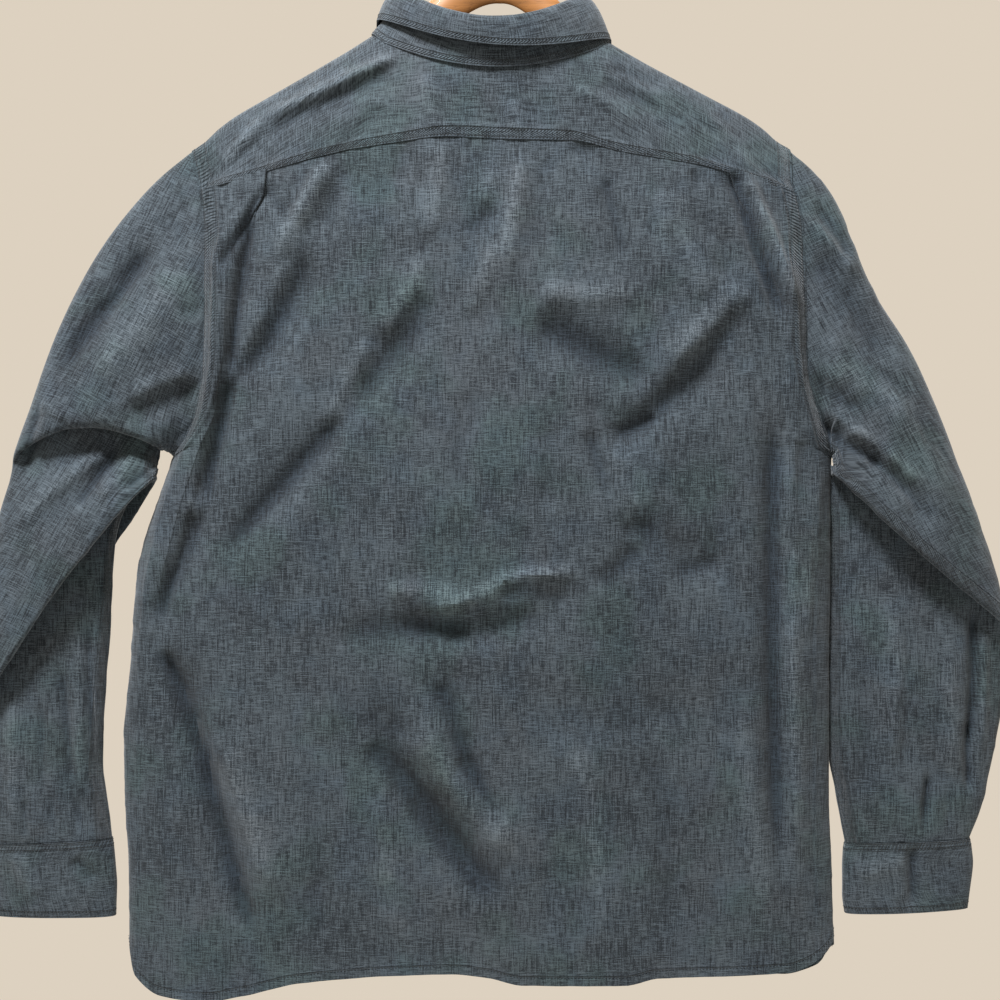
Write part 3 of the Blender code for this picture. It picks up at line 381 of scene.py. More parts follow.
RIGHT_SLEEVE = table(SLEEVE_COLUMNS, """
274 113 287 357 0 -1 24 18 0 -8
297 150 288 356 0 -2 26 19 0 -10
311 187 288 356 0 -3 28 20 0 -9
328 224 289 357 0 -4 29 21 2 -8
352 262 289 358 0 -5 30 21 4 -4
374 309 289 360 0 -7 31 22 6 0
396 366 289 363 0 -9 32 23 6 0
415 416 289 366 0 -11 32 25 3 0
429 458 288 369 0 -13 32 27 0 0
439 500 287 372 0 -14 30 29 -6 0
440 506 287 374 0 -12 26 28 -6 0
441 512 286.5 366 1 -6 18 22 12 12
441 518 287 368 2 0 12 17 12 12
441 526 286.5 386 3 4 11 15 -4 0
441 540 286.5 420 4 6 13 14 0 0
440 558 286 465 4 6 14 14 0 0
437 580 286 515 4 6 15 14 0 0
432 606 285.5 565 4 6 15 14 0 0
426 634 286.5 612 4 6 14 14 0 0
420 660 294 652 4 6 13 13 0 0
409 690 302 694 4 5 11 11 0 0
""")
SLEEVE_ROUND = 0.75
BEFORE_FOREARM = 17
ELBOW = {"left": 17, "right": 11}
SLEEVE_SLANT = math.radians(27)

# The cuffs, from the sleeve's end to the wrist.
LEFT_CUFF = table(SLEEVE_COLUMNS, """
-443 695.6 -339 690.6 4 4 12 12 0 0
-445 715 -337 712 4 4 12 12 0 0
-445 736 -336 735 4 4 12 12 0 0
-443 757 -336 758 4 4 11 11 0 0
""")
RIGHT_CUFF = table(SLEEVE_COLUMNS, """
409 690.6 302 694.6 4 5 12 12 0 0
411 712 300 718 4 5 12 12 0 0
409 734 300 739 4 5 12 12 0 0
407 751 302 756 4 5 11 11 0 0
""")
CUFF_START = 0.70
CUFF_LAP = 0.06
CUFF_LAP_EASE = 0.06

# The strips over the slits above the cuffs, on the front layer, and the rings of each sleeve there.
SLEEVE_PLACKET = (118.0, 24.0)
SLEEVE_PLACKET_TURN = 0.73
FOREARM_ROWS = 8

# Soft folds of the sleeves' back layers.
SLEEVE_FOLDS = folds("""
259 300 275 338 300 342 9 -10
300 342 336 376 372 424 11 -10 -0.3
262 142 290 175 322 214 12 4
-254 130 -300 170 -360 258 14 -5
-246 296 -286 316 -330 336 10 -6
-318 350 -352 382 -400 420 13 -5
""")

# The stand's top and the leaf's edge: the ring's middle and half width, how far it stands back and
# forward, its drop at the sides, and how much lower it lies at the back and at the front.
STAND_TOP = {
    "centre": -8.0, "half_width": 76.0, "widen": 0.0, "back": 38.0, "front": 34.0,
    "drop": -38.0, "dip": 31.0, "fall": 72.0, "tilt": 2.0,
}
LEAF_EDGE = {
    "centre": -5.2, "half_width": 101.5, "widen": 12.0, "back": 45.0, "front": 46.0,
    "drop": -11.5, "dip": 25.0, "fall": 112.0, "tilt": 8.5,
}
COLLAR_FRONT_ROUND = 0.8
COLLAR_FRONT_FALL = 1.2
STAND_ABOVE_SEAM = 1.7
STAND_BELOW_SEAM = 3.0
STAND_OUTSIDE = 2.4
STAND_LAP = math.radians(9)
STAND_LAP_START = math.radians(140)
STAND_LAP_EASE = math.radians(30)
LEAF_END = math.radians(160)
LEAF_ROLL = (13.0, 9.0)
LEAF_CLEAR = 1.8


# ---------------------------------------------------------------- curves and sheets


def smooth(at, where, values):
    """A smooth curve through the table's values that doesn't swing past them."""
    values = np.asarray(values, float)
    wide = (slice(None),) + (None,) * (values.ndim - 1)
    step = np.diff(where).astype(float)
    slope = np.diff(values, axis=0) / step[wide]
    both = slope[:-1] + slope[1:]
    same_way = slope[:-1] * slope[1:] > 0
    tangent = np.zeros_like(values)
    tangent[1:-1] = np.where(same_way, 2 * slope[:-1] * slope[1:] / np.where(same_way, both, 1), 0)
    tangent[0], tangent[-1] = slope[0], slope[-1]
    at = np.clip(np.asarray(at, float), where[0], where[-1])
    k = np.clip(np.searchsorted(where, at, side="right") - 1, 0, len(step) - 1)
    t, step = (at - where[k]) / step[k], step[k]
    if values.ndim > 1:
        t, step = t[wide], step[wide]
    start = (1 + 2 * t) * (1 - t) ** 2 * values[k] + t * (1 - t) ** 2 * step * tangent[k]
    end = t * t * (3 - 2 * t) * values[k + 1] + t * t * (t - 1) * step * tangent[k + 1]
    return start + end


def ease(t):
    """From 0 to 1, level at both ends."""
    t = np.clip(t, 0, 1)
    return t * t * (3 - 2 * t)


def mix(a, b, share):
    return a + (b - a) * share


def unit(vectors):
    return vectors / np.maximum(np.linalg.norm(vectors, axis=-1, keepdims=True), 1e-9)


def place(x, y, drop):
    """Points from across, depth and drop, in millimetres from the origin."""
    x, y, drop = np.broadcast_arrays(x, y, drop)
    return np.stack([x, y, NECK_LEVEL - drop], axis=-1).astype(float)


def drops(points):
    return NECK_LEVEL - points[..., 2]


def tangents(points, axis, around=False):
    """Directions along a grid's lines, each halfway between those of the two steps that meet there."""
    steps = unit(np.diff(points, axis=axis))
    if around:
        closing = unit(np.take(points, [0], axis) - np.take(points, [-1], axis))
        before = np.concatenate([closing, steps], axis=axis)
        after = np.concatenate([steps, closing], axis=axis)
    else:
        before = np.concatenate([np.take(steps, [0], axis), steps], axis=axis)
        after = np.concatenate([steps, np.take(steps, [-1], axis)], axis=axis)
    return unit(before + after)


def sheet_normals(points, around=False):
    """Outward normals of a grid whose rows go down and whose columns go right, seen from outside."""
    return unit(np.cross(tangents(points, 0), tangents(points, 1, around)))


def ring_angle(down):
    return np.arccos(1 - 2 * np.clip(down, 0, 1))


def armhole_steps(corner, steps):
    """Shares of the armhole below the yoke's corner, evenly turned about its ring."""
    angles = np.linspace(ring_angle(corner), math.pi, steps + 1)
    return ((1 - np.cos(angles)) / 2 - corner) / (1 - corner)


def armhole(side, down, face):
    """A point of the armhole seam. `face` is -1 on the back and 1 on the front."""
    ring = np.clip(4 * down * (1 - down), 0, 1) ** ARMHOLE_ROUND
    deep = ARMHOLE_BACK if face < 0 else ARMHOLE_FRONT
    drop = mix(ARMHOLE_TOP[side], ARMHOLE_END[side], down)
    return place(smooth(down, ARMHOLE["down"], ARMHOLE[side]), face * deep * ring, drop)


def body_edge(side, down, face, corner, hem_drop):
    """The panel's edge: the armhole seam down to ARMHOLE_ROW, and then the side seam."""
    on_armhole = mix(corner, 1.0, np.clip(down / ARMHOLE_ROW, 0, 1))
    upper = armhole(side, on_armhole, face)
    below = np.clip((down - ARMHOLE_ROW) / (1 - ARMHOLE_ROW), 0, 1)
    drop = mix(ARMHOLE_END[side], hem_drop, below)
    lower = place(smooth(drop, SIDES["drop"], SIDES[side]), 0.0, drop)
    return np.where((down <= ARMHOLE_ROW)[..., None], upper, lower)


def panel_rows(corner, steps, below):
    """Shares of the way down a panel: rows at the sleeve's columns, and then even ones to the hem."""
    above = ARMHOLE_ROW * armhole_steps(corner, steps)
    return np.concatenate([above, np.linspace(ARMHOLE_ROW, 1.0, below + 1)[1:]])


def neck(angle):
    """A point of the neck seam. The angle is 0 at the back, negative to the left."""
    back, side = np.cos(angle), np.sin(angle)
    behind = back > 0
    size = np.abs(back)
    drop = np.where(behind, NECK_BACK_DROP * back**2, NECK_FRONT_DROP * size**NECK_FRONT_FALL)
    y = np.where(behind, -NECK_BACK * size**NECK_BACK_ROUND, NECK_FRONT * size**NECK_FRONT_ROUND)
    drop = drop - NECK_SIDE_RISE + NECK_TILT * side
    return place(NECK_CENTRE + NECK_HALF_WIDTH * side, y, drop)


def rounded_depth(across, edge, deep):
    """Depth of a panel from its edge's own depth to the deepest at the centre, rounded at the sides."""
    return np.sqrt(edge**2 + (deep**2 - edge**2) * (1 - np.abs(across) ** SIDE_ROUND))


# How the panels are laid out: the yoke's ridge, the back's columns beside and through a pleat, the
# fronts' columns, and how far from the edges the folds begin.
RIDGE_WIDTH = 14.0
YOKE_FOLD_MARGIN = 8.0
SIDE_SHARES = (0.0, 0.18, 0.42, 0.70)
PLEAT_APPROACH = 13.0
PLEAT_TURN = 1.0
PLEAT_FOOT = 7.0
PLEAT_FACE = (0.33, 0.67)
PLEAT_PARTED = 12.0
MIDDLE_COLUMNS = 18
MEAN_CORNER = 0.146
HEM_REACH = 3
BACK_FOLD_MARGIN = (0.07, 0.03)
FRONT_SHARES = np.concatenate([[0, 0.03, 0.09, 0.17, 0.27], np.linspace(0.38, 1, 8)])
SHOULDER_SHARE = 0.56
NECK_REACH = 0.09
FRONT_FOLD_MARGIN = (0.12, 0.84, 0.1, 0.05)
FRONT_LAP = (0.6, 0.2)


def finer(grid, steps, axis=0, around=False):
    """The same sheet with `steps` times as many rows or columns, on curves through the old ones."""
    grid = np.moveaxis(np.asarray(grid, float), axis, 0)
    count, pad = len(grid), 2 if around else 0
    if around:
        grid = np.concatenate([grid[-pad:], grid, grid[:pad + 1]])
    at = np.arange(count * steps if around else (count - 1) * steps + 1) / steps + pad
    return np.moveaxis(smooth(at, np.arange(len(grid)), grid), 0, axis)


def steps_along(points, axis):
    """How far each point lies along its row or column, in millimetres."""
    gone = np.cumsum(np.linalg.norm(np.diff(points, axis=axis), axis=-1), axis=axis)
    return np.concatenate([np.zeros_like(np.take(gone, [0], axis)), gone], axis=axis)


def from_edge(points, edge):
    """How far each point lies from one edge of its sheet, along the cloth."""
    axis = 0 if edge in ("top", "bottom") else 1
    gone = steps_along(points, axis)
    return np.take(gone, [-1], axis) - gone if edge in ("bottom", "right") else gone


def from_sides(points):
    """How far each point lies from the nearer side of its sheet."""
    return np.minimum(from_edge(points, "left"), from_edge(points, "right"))


def relief(x, drop, rows, fading=FOLD_FADE):
    """How far the folds lift the cloth at each place, in millimetres."""
    lifted = np.zeros(np.broadcast(x, drop).shape)
    along = np.linspace(0, 1, FOLD_STEPS)
    for x0, d0, x1, d1, x2, d2, width, depth, lean in zip(*rows.values()):
        curve_x = (1 - along) ** 2 * x0 + 2 * along * (1 - along) * x1 + along**2 * x2
        curve_d = (1 - along) ** 2 * d0 + 2 * along * (1 - along) * d1 + along**2 * d2
        reach = 3 * width
        near_x = (x > curve_x.min() - reach) & (x < curve_x.max() + reach)
        close = near_x & (drop > curve_d.min() - reach) & (drop < curve_d.max() + reach)
        dx = x[close][:, None] - curve_x
        dd = drop[close][:, None] - curve_d
        near = np.argmin(dx**2 + dd**2, axis=-1)
        tangent_x, tangent_d = np.gradient(curve_x), np.gradient(curve_d)
        size = np.hypot(tangent_x, tangent_d)[near]
        away_x = np.take_along_axis(dx, near[:, None], -1)[:, 0]
        away_d = np.take_along_axis(dd, near[:, None], -1)[:, 0]
        side = (away_x * tangent_d[near] - away_d * tangent_x[near]) / size
        past = (away_x * tangent_x[near] + away_d * tangent_d[near]) / size**2
        share = along[near] + past / (FOLD_STEPS - 1)
        across = side / (width * np.where(side > 0, 1 + lean, 1 - lean))
        fade = ease(share / fading[0]) * ease((1 - share) / fading[1])
        lifted[close] += depth * fade * np.exp(-(across**2))
    return lifted


def rumple(u, v, seed):
    """Smooth unevenness between -1 and 1, with a bump for each unit of u and v."""
    heights = np.random.default_rng(seed).uniform(-1, 1, (64, 64))
    column, row = np.floor(u).astype(int), np.floor(v).astype(int)
    du, dv = ease(u - column), ease(v - row)
    column, row, right, below = column % 64, row % 64, (column + 1) % 64, (row + 1) % 64
    top = mix(heights[column, row], heights[right, row], du)
    return mix(top, mix(heights[column, below], heights[right, below], du), dv)


def crumple(u, v, seed):
    """Soft creases that wander over hanging cloth, mostly up and down: ridges, troughs and waves."""
    bent = v + 24 * rumple(u / 70, v / 90, seed + 1)
    aside = u + 22 * rumple(u / 80, v / 60, seed + 2)
    ridge = 1 - 2 * np.abs(rumple(aside / 34, bent / 96, seed + 3)) ** 0.8
    wave = rumple(aside / 17, bent / 38, seed + 4)
    return 0.62 * ridge + 0.38 * wave


def puckers(run, away, seed, reach=10.0):
    """The small waves that tight sewing draws into the cloth beside it."""
    wave = rumple(run / 7.5, away / 60, seed) + 0.6 * rumple(run / 3.6, away / 40, seed + 1)
    return wave * np.exp(-((away / reach) ** 2)) * ease(away / 3 + 0.35)


# ---------------------------------------------------------------- meshes of cloth


# The rows of sewing that the pieces of cloth leave for the operator that sews.
STITCH_ROWS = []


def stitch_row(points, normals, away):
    """Keep a line of sewing, lying on the cloth, for the thread that goes over it."""
    STITCH_ROWS.append(np.asarray(points) + np.asarray(normals) * away)


def stitch_across(aways, gone, points, normals, thick):
    """Keep a row of stitches that crosses each row of a sheet where its `gone` comes to `aways`."""
    line, looks = [], []
    for off, distance, lane, facing in zip(aways, gone, points, normals):
        order = np.argsort(distance, kind="stable")
        for found, values in ((line, lane), (looks, facing)):
            found.append([np.interp(off, distance[order], values[order, k]) for k in range(3)])
    stitch_row(line, looks, thick / 2 + THREAD_LIFT)


def stitch_beside(points, normals, edge, away, thick, start=0.0, end=1.0):
    """A row of stitches that follows one edge of a sheet at a distance from it."""
    gone = from_edge(points, edge)
    if edge in ("top", "bottom"):
        gone, points, normals = (np.swapaxes(a, 0, 1) for a in (gone, points, normals))
    part = slice(int(start * len(gone)), int(math.ceil(end * len(gone))))
    aways = np.broadcast_to(away, len(gone))
    stitch_across(aways[part], gone[part], points[part], normals[part], thick)


def new_object(name, mesh):
    for old in [o for o in bpy.data.objects if o.name == name]:
        bpy.data.objects.remove(old)
    made = bpy.data.objects.new(name, mesh)
    bpy.context.scene.collection.objects.link(made)
    return made


def grain_of(points, around=False):
    """Across and along the threads for each corner of a sheet, in millimetres."""
    grain = np.stack([steps_along(points, 1), steps_along(points, 0)], -1)
    if around:
        closing = np.linalg.norm(points[:, 0] - points[:, -1], axis=-1)
        ends = np.stack([grain[:, -1, 0] + closing, grain[:, 0, 1]], -1)
        grain = np.concatenate([grain, ends[:, None]], 1)
    return grain


def hanging_grain(points, across=1):
    """Threads that hang straight down whatever the folds do, seen from the back at 1, the front at -1."""
    return np.stack([across * points[..., 0], drops(points)], -1)


def hemmed(thick, hem):
    """The thickness of cloth that is turned up at its hem."""
    return thick + HEM_THICKER * ease((HEM + 1.2 - hem) / 1.8)


def cloth_mesh(name, points, thick, normals=None, around=False, grain=None, **marks):
    """A closed shell of cloth about a grid of points, with its grain as UV and marks as attributes."""
    rows, columns = points.shape[:2]
    if normals is None:
        normals = sheet_normals(points, around)
    half = normals * (np.broadcast_to(thick, (rows, columns))[..., None] / 2)
    skin = np.concatenate([(points + half).reshape(-1, 3), (points - half).reshape(-1, 3)])
    steps = columns if around else columns - 1
    r, c = (a.ravel() for a in np.meshgrid(np.arange(rows - 1), np.arange(steps), indexing="ij"))
    outer = [(r, c, 0), (r + 1, c, 0), (r + 1, c + 1, 0), (r, c + 1, 0)]
    inner = [(a, b, 1) for a, b, _ in reversed(outer)]
    faces = [outer, inner]
    c = np.arange(steps)
    for row, one, two in ((0, c, c + 1), (rows - 1, c + 1, c)):
        faces.append([(row, one, 0), (row, two, 0), (row, two, 1), (row, one, 1)])
    if not around:
        r = np.arange(rows - 1)
        for column, one, two in ((0, r + 1, r), (columns - 1, r, r + 1)):
            faces.append([(one, column, 0), (two, column, 0), (two, column, 1), (one, column, 1)])
    corners = np.concatenate(
        [
            np.stack([np.stack(np.broadcast_arrays(*corner), -1) for corner in face], 1)
            for face in faces
        ]
    )
    row, column, layer = corners[..., 0], corners[..., 1], corners[..., 2]
    index = layer * rows * columns + row * columns + column % columns
    mesh = bpy.data.meshes.new(name)
    mesh.from_pydata((skin * MM).tolist(), [], index.tolist())
    if grain is None:
        grain = grain_of(points, around)
    uv = mesh.uv_layers.new(name="cloth")
    uv.data.foreach_set("uv", (grain[row, column] * MM).astype(np.float32).ravel())
    for mark, values in {"worn": 0.0, **marks}.items():
        values = np.tile(np.broadcast_to(values, (rows, columns)).ravel(), 2)
        attribute = mesh.attributes.new(mark, "FLOAT", "POINT")
        attribute.data.foreach_set("value", values.astype(np.float32))
    mesh.shade_smooth()
    mesh.set_sharp_from_angle(angle=math.radians(50))
    return new_object(name, mesh)


def finish(piece, material, slot, *nodes):
    """Give a piece its material, hang it with the shirt and let it stand for its plain solids."""
    piece.data.materials.clear()
    piece.data.materials.append(material)
    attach(piece, "root")
    if nodes:
        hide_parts(*nodes)
    return piece


def tailored(piece, cloth, node, width, length, area=None, rests_on="shirt_yoke"):
    finish(piece, chambray(cloth), "chambray", node)


# ---------------------------------------------------------------- materials


def reckoned(operation, reflected=False):
    """A method that joins a value in a material to another or to a plain number."""
    def method(self, other):
        return self.tree.number(operation, *((other, self) if reflected else (self, other)))
    return method


class Value:
    """A number in a material that can be reckoned with like any other."""

    def __init__(self, tree, socket):
        self.tree, self.socket = tree, socket

    __add__ = __radd__ = reckoned("ADD")
    __sub__, __rsub__ = reckoned("SUBTRACT"), reckoned("SUBTRACT", True)
    __mul__ = __rmul__ = reckoned("MULTIPLY")

    def rise(self, low, high):
        """From 0 at `low` to 1 at `high`, smoothly."""
        node = self.tree.node(
            "ShaderNodeMapRange", {"interpolation_type": "SMOOTHSTEP"},
            {"Value": self, "From Min": low, "From Max": high},
        )
        return Value(self.tree, node.outputs[0])

    def hump(self, middle, width):
        """1 at `middle`, dying away to 0 over `width` on both sides."""
        return self.tree.number("ABSOLUTE", self - middle).rise(width, 0.0)


class Finish:
    """A material and its nodes."""

    def __init__(self, name):
        self.material = bpy.data.materials.get(name) or bpy.data.materials.new(name)
        self.material.use_nodes = True
        self.tree = self.material.node_tree
        self.tree.nodes.clear()
        output = self.node("ShaderNodeOutputMaterial")
        self.shader = self.node("ShaderNodeBsdfPrincipled")
        self.tree.links.new(self.shader.outputs[0], output.inputs[0])

    def node(self, kind, settings=None, sockets=None):
        made = self.tree.nodes.new(kind)
        for name, value in (settings or {}).items():
            if name == "stops":
                ramp = made.color_ramp
                while len(ramp.elements) < len(value):
                    ramp.elements.new(0.5)
                for element, (at, colour) in zip(ramp.elements, value):
                    element.position, element.color = at, (*colour, 1.0)
            else:
                setattr(made, name, value)
        for name, value in (sockets or {}).items():
            self.plug(made.inputs[name], value)
        return made

    def plug(self, socket, value):
        if isinstance(value, Value):
            value = value.socket
        if isinstance(value, bpy.types.NodeSocket):
            self.tree.links.new(value, socket)
        elif socket.type == "RGBA" and len(value) == 3:
            socket.default_value = (*value, 1.0)
        else:
            socket.default_value = value

    def number(self, operation, *values):
        node = self.node("ShaderNodeMath", {"operation": operation})
        for socket, value in zip(node.inputs, values):
            self.plug(socket, value)
        return Value(self, node.outputs[0])

    def where(self):
        """The place on the object."""
        return self.node("ShaderNodeTexCoord").outputs["Object"]

    def cloth(self):
        """The place on the cloth, across and along its threads, in metres."""
        return self.node("ShaderNodeUVMap", {"uv_map": "cloth"}).outputs["UV"]

    def mark(self, name):
        """A mark that the cloth's mesh carries at each of its points."""
        node = self.node("ShaderNodeAttribute", {"attribute_name": name})
        return Value(self, node.outputs["Fac"])

    def stretched(self, place, x, y, z=1.0):
        """A place measured in spans of x, y and z metres."""
        node = self.node("ShaderNodeVectorMath", {"operation": "MULTIPLY"})
        self.plug(node.inputs[0], place)
        self.plug(node.inputs[1], (1 / x, 1 / y, 1 / z))
        return node.outputs[0]

    def noise(self, place, detail=0.0, rough=0.5, twist=0.0):
        node = self.node("ShaderNodeTexNoise", {"noise_dimensions": "3D"}, {
            "Vector": place, "Scale": 1.0, "Detail": detail, "Roughness": rough, "Distortion": twist,
        })
        return Value(self, node.outputs[0])

    def clouds(self, size, detail, rough=0.5):
        """Patches of about `size` metres over the object."""
        return self.noise(self.stretched(self.where(), size, size, size), detail, rough)

    def tinted(self, share, colour, tint):
        """The colour, multiplied by a tint where `share` is 1."""
        return self.blend(share, colour, self.blend(1.0, colour, tint, "MULTIPLY"))

    def ramp(self, value, *stops):
        node = self.node("ShaderNodeValToRGB", {"stops": stops}, {"Fac": value})
        return node.outputs["Color"]

    def blend(self, share, one, two, kind="MIX"):
        node = self.node("ShaderNodeMix", {"data_type": "RGBA", "blend_type": kind})
        colours = [s for s in node.inputs if s.type == "RGBA"]
        self.plug(node.inputs[0], share)
        self.plug(colours[0], one)
        self.plug(colours[1], two)
        return next(s for s in node.outputs if s.type == "RGBA")

    def bump(self, height, strength, distance, under=None):
        sockets = {"Height": height, "Strength": strength, "Distance": distance}
        if under is not None:
            sockets["Normal"] = under
        return self.node("ShaderNodeBump", None, sockets).outputs[0]

    def look(self, **values):
        for name, value in values.items():
            self.plug(self.shader.inputs[name.replace("_", " ")], value)
        return self.material


# The cloth's faded patches: how strong they are, their tint and their size in metres.
FADED_PATCHES = (
    (0.62, (0.82, 1.0, 0.88), 0.075),
    (0.5, (1.0, 0.92, 0.90), 0.055),
    (0.5, (0.84, 0.92, 1.0), 0.04),
)
# From one dimple of a stitched band to the next.
DIMPLE_PITCH = 3.0


def chambray(cloth):
    """Chambray: dark warp under pale weft, with slubs along both, puckered where it is sewn."""
    f = Finish("chambray_cloth")
    at = f.cloth()
    warp = f.noise(f.stretched(at, 0.0010, 0.016), 2.0)
    weft = f.noise(f.stretched(at, 0.0080, 0.0009), 2.0)
    slub_weft = f.noise(f.stretched(at, 0.018, 0.0012)).rise(0.55, 0.75)
    slub_warp = f.noise(f.stretched(at, 0.0013, 0.040)).rise(0.44, 0.25)
    flecks = f.noise(f.stretched(at, 0.0010, 0.0009), 1.0)
    clouds = f.clouds(0.060, 3.0, 0.6)
    pale = 0.5 + (warp - 0.5) * cloth.warp + (weft - 0.5) * cloth.weft + (flecks - 0.5) * 1.1
    pale = pale + (slub_weft - 0.3) * 0.22 - (slub_warp - 0.3) * 0.17 + (clouds - 0.5) * 0.6
    colour = f.blend(pale.rise(0.05, 0.95), tuple(cloth.dark), tuple(cloth.light))
    for share, tint, size in FADED_PATCHES:
        patch = f.noise(f.stretched(f.where(), size, size * 1.3, size), 2.0, 0.6).rise(0.47, 0.66)
        colour = f.tinted(patch * share, colour, tint)
    fell, hem, run = f.mark("fell"), f.mark("hem"), f.mark("run")
    grooves = fell.hump(NEAR_ROW, 0.12) + fell.hump(FAR_ROW, 0.12) + hem.hump(HEM_STITCH, 1.6)
    step = fell.rise(1.12, 0.98) * 0.6 + hem.rise(9.6, 8.2) * 0.6
    wave = f.number("SINE", run * (TURN / DIMPLE_PITCH) + f.clouds(0.007, 1.0) * 5.0)
    dimple = (wave * 0.5 + 0.5) * fell.hump(0.5, 0.62)
    edge = fell.hump(0.02, 0.07) + fell.hump(1.08, 0.12) * 0.7 + hem.hump(8.7, 0.8) * 0.6
    # The folds' relief as a mark: troughs are darkened as painted shade, and ridges are paled, partly as
    # rubbed cloth and partly as painted light.
    worn = f.mark("worn")
    trough_shade, ridge = worn.rise(0.2, -7.0), worn.rise(0.2, 5.5)
    colour = f.tinted(trough_shade * cloth.shade_and_rubbing_strength, colour, (0.30, 0.36, 0.43))
    colour = f.tinted(ridge * cloth.shade_and_rubbing_strength, colour, (1.75, 1.68, 1.62))
    # Painted shade: darker in the grooves of the stitch rows, in the dimples between stitches, and along the
    # turned edges of the felled seams' bands and the hem.
    colour = f.tinted(grooves * 0.30 + dimple * 0.26 + edge * 0.45, colour, (0.36, 0.40, 0.44))
    waves = f.noise(f.stretched(at, 0.009, 0.015), 2.0, 0.55)
    weave = warp * 0.6 + weft * 0.6 + slub_weft * 0.6 - slub_warp * 0.4 + flecks * 0.3
    low = f.bump(step - grooves - dimple * 1.1, 0.8, 0.0009)
    soft = f.bump(waves, 0.35, 0.0016, low)
    return f.look(
        Base_Color=colour, Roughness=0.84 + (flecks - 0.5) * 0.12,
        Normal=f.bump(weave, cloth.weave, 0.0004, soft), Specular_IOR_Level=0.18,
        Sheen_Weight=0.18, Sheen_Roughness=0.5, Sheen_Tint=(0.80, 0.88, 1.0),
    )


def thread(cloth):
    """Sewing thread, twisted and a shade paler than the cloth."""
    f = Finish("sewing_thread")
    twist, tone = f.clouds(0.0012, 1.0), f.clouds(0.05, 1.0)
    dark = tuple(0.62 * c for c in cloth.thread)
    colour = f.blend(twist * 0.6 + tone * 0.4, dark, tuple(cloth.thread))
    return f.look(Base_Color=colour, Roughness=0.72, Normal=f.bump(twist, 0.4, 0.0003))


def shell_button(buttons):
    """Pale polished shell with soft cloudy bands."""
    f = Finish("shell_button")
    bands = f.noise(f.stretched(f.where(), 0.006, 0.02, 0.0022), 2.0, 0.6, 1.5)
    stops = (0.25, (0.46, 0.42, 0.35)), (0.5, tuple(buttons.shell)), (0.8, (0.86, 0.84, 0.79))
    return f.look(Base_Color=f.ramp(bands, *stops), Roughness=0.24 + bands * 0.15, Coat_Weight=0.25)


def hanger_wood(hanger):
    """Orange-brown varnished wood, its grain along the bar."""
    f = Finish("hanger_wood_varnished")
    at = f.where()
    rings = f.noise(f.stretched(at, 0.16, 0.012, 0.0052), 3.0, 0.55, 0.6)
    pores = f.noise(f.stretched(at, 0.020, 0.0012, 0.0009), 1.0).rise(0.58, 0.72)
    patches = f.noise(f.stretched(at, 0.09, 0.09, 0.05), 1.0)
    grain = rings * 0.8 + patches * 0.25 - pores * 0.12
    dark = tuple(0.62 * c for c in hanger.wood)
    light = tuple(min(1.0, 1.25 * c) for c in hanger.wood)
    colour = f.ramp(grain, (0.32, dark), (0.5, tuple(hanger.wood)), (0.72, light))
    return f.look(
        Base_Color=colour, Roughness=0.5 + pores * 0.2, Coat_Weight=0.06,
        Normal=f.bump(rings - pores, 0.15, 0.0004),
    )


def hook_steel():
    """Bright drawn steel wire with fine marks along it."""
    f = Finish("hook_steel_bright")
    marks = f.noise(f.stretched(f.where(), 0.002, 0.002, 0.0004), 1.0)
    smears = f.clouds(0.012, 2.0)
    return f.look(
        Base_Color=f.blend(smears, (0.50, 0.50, 0.51), (0.66, 0.66, 0.67)), Metallic=1.0,
        Roughness=0.22 + smears * 0.14, Normal=f.bump(marks, 0.06, 0.0002),
    )


def floor_paint(stage):
    """Matt paint with a faint unevenness."""
    f = Finish("stage_paint")
    dark = tuple(0.97 * c for c in stage.floor)
    return f.look(Base_Color=f.blend(f.clouds(0.6, 2.0), dark, tuple(stage.floor)), Roughness=0.9)


# ---------------------------------------------------------------- fine creases


# The share of the depth that thin cloth keeps of a soft fold, a pleat and a crease, and how creases
# fade at their two ends.
FOLD_KEPT, PLEAT_KEPT, CREASE_KEPT = 0.75, 0.9, 0.95
CREASE_FADE = (0.16, 0.22)
# A soft fold counts for less than a sharp crease that stands as high in the painted shade of the troughs and
# the paler ridges, which are partly rubbed cloth and partly painted light.
FOLD_SHADE_AND_RUBBING = 0.35


def creased(x, drop, rows):
    return CREASE_KEPT * relief(x, drop, rows, CREASE_FADE)


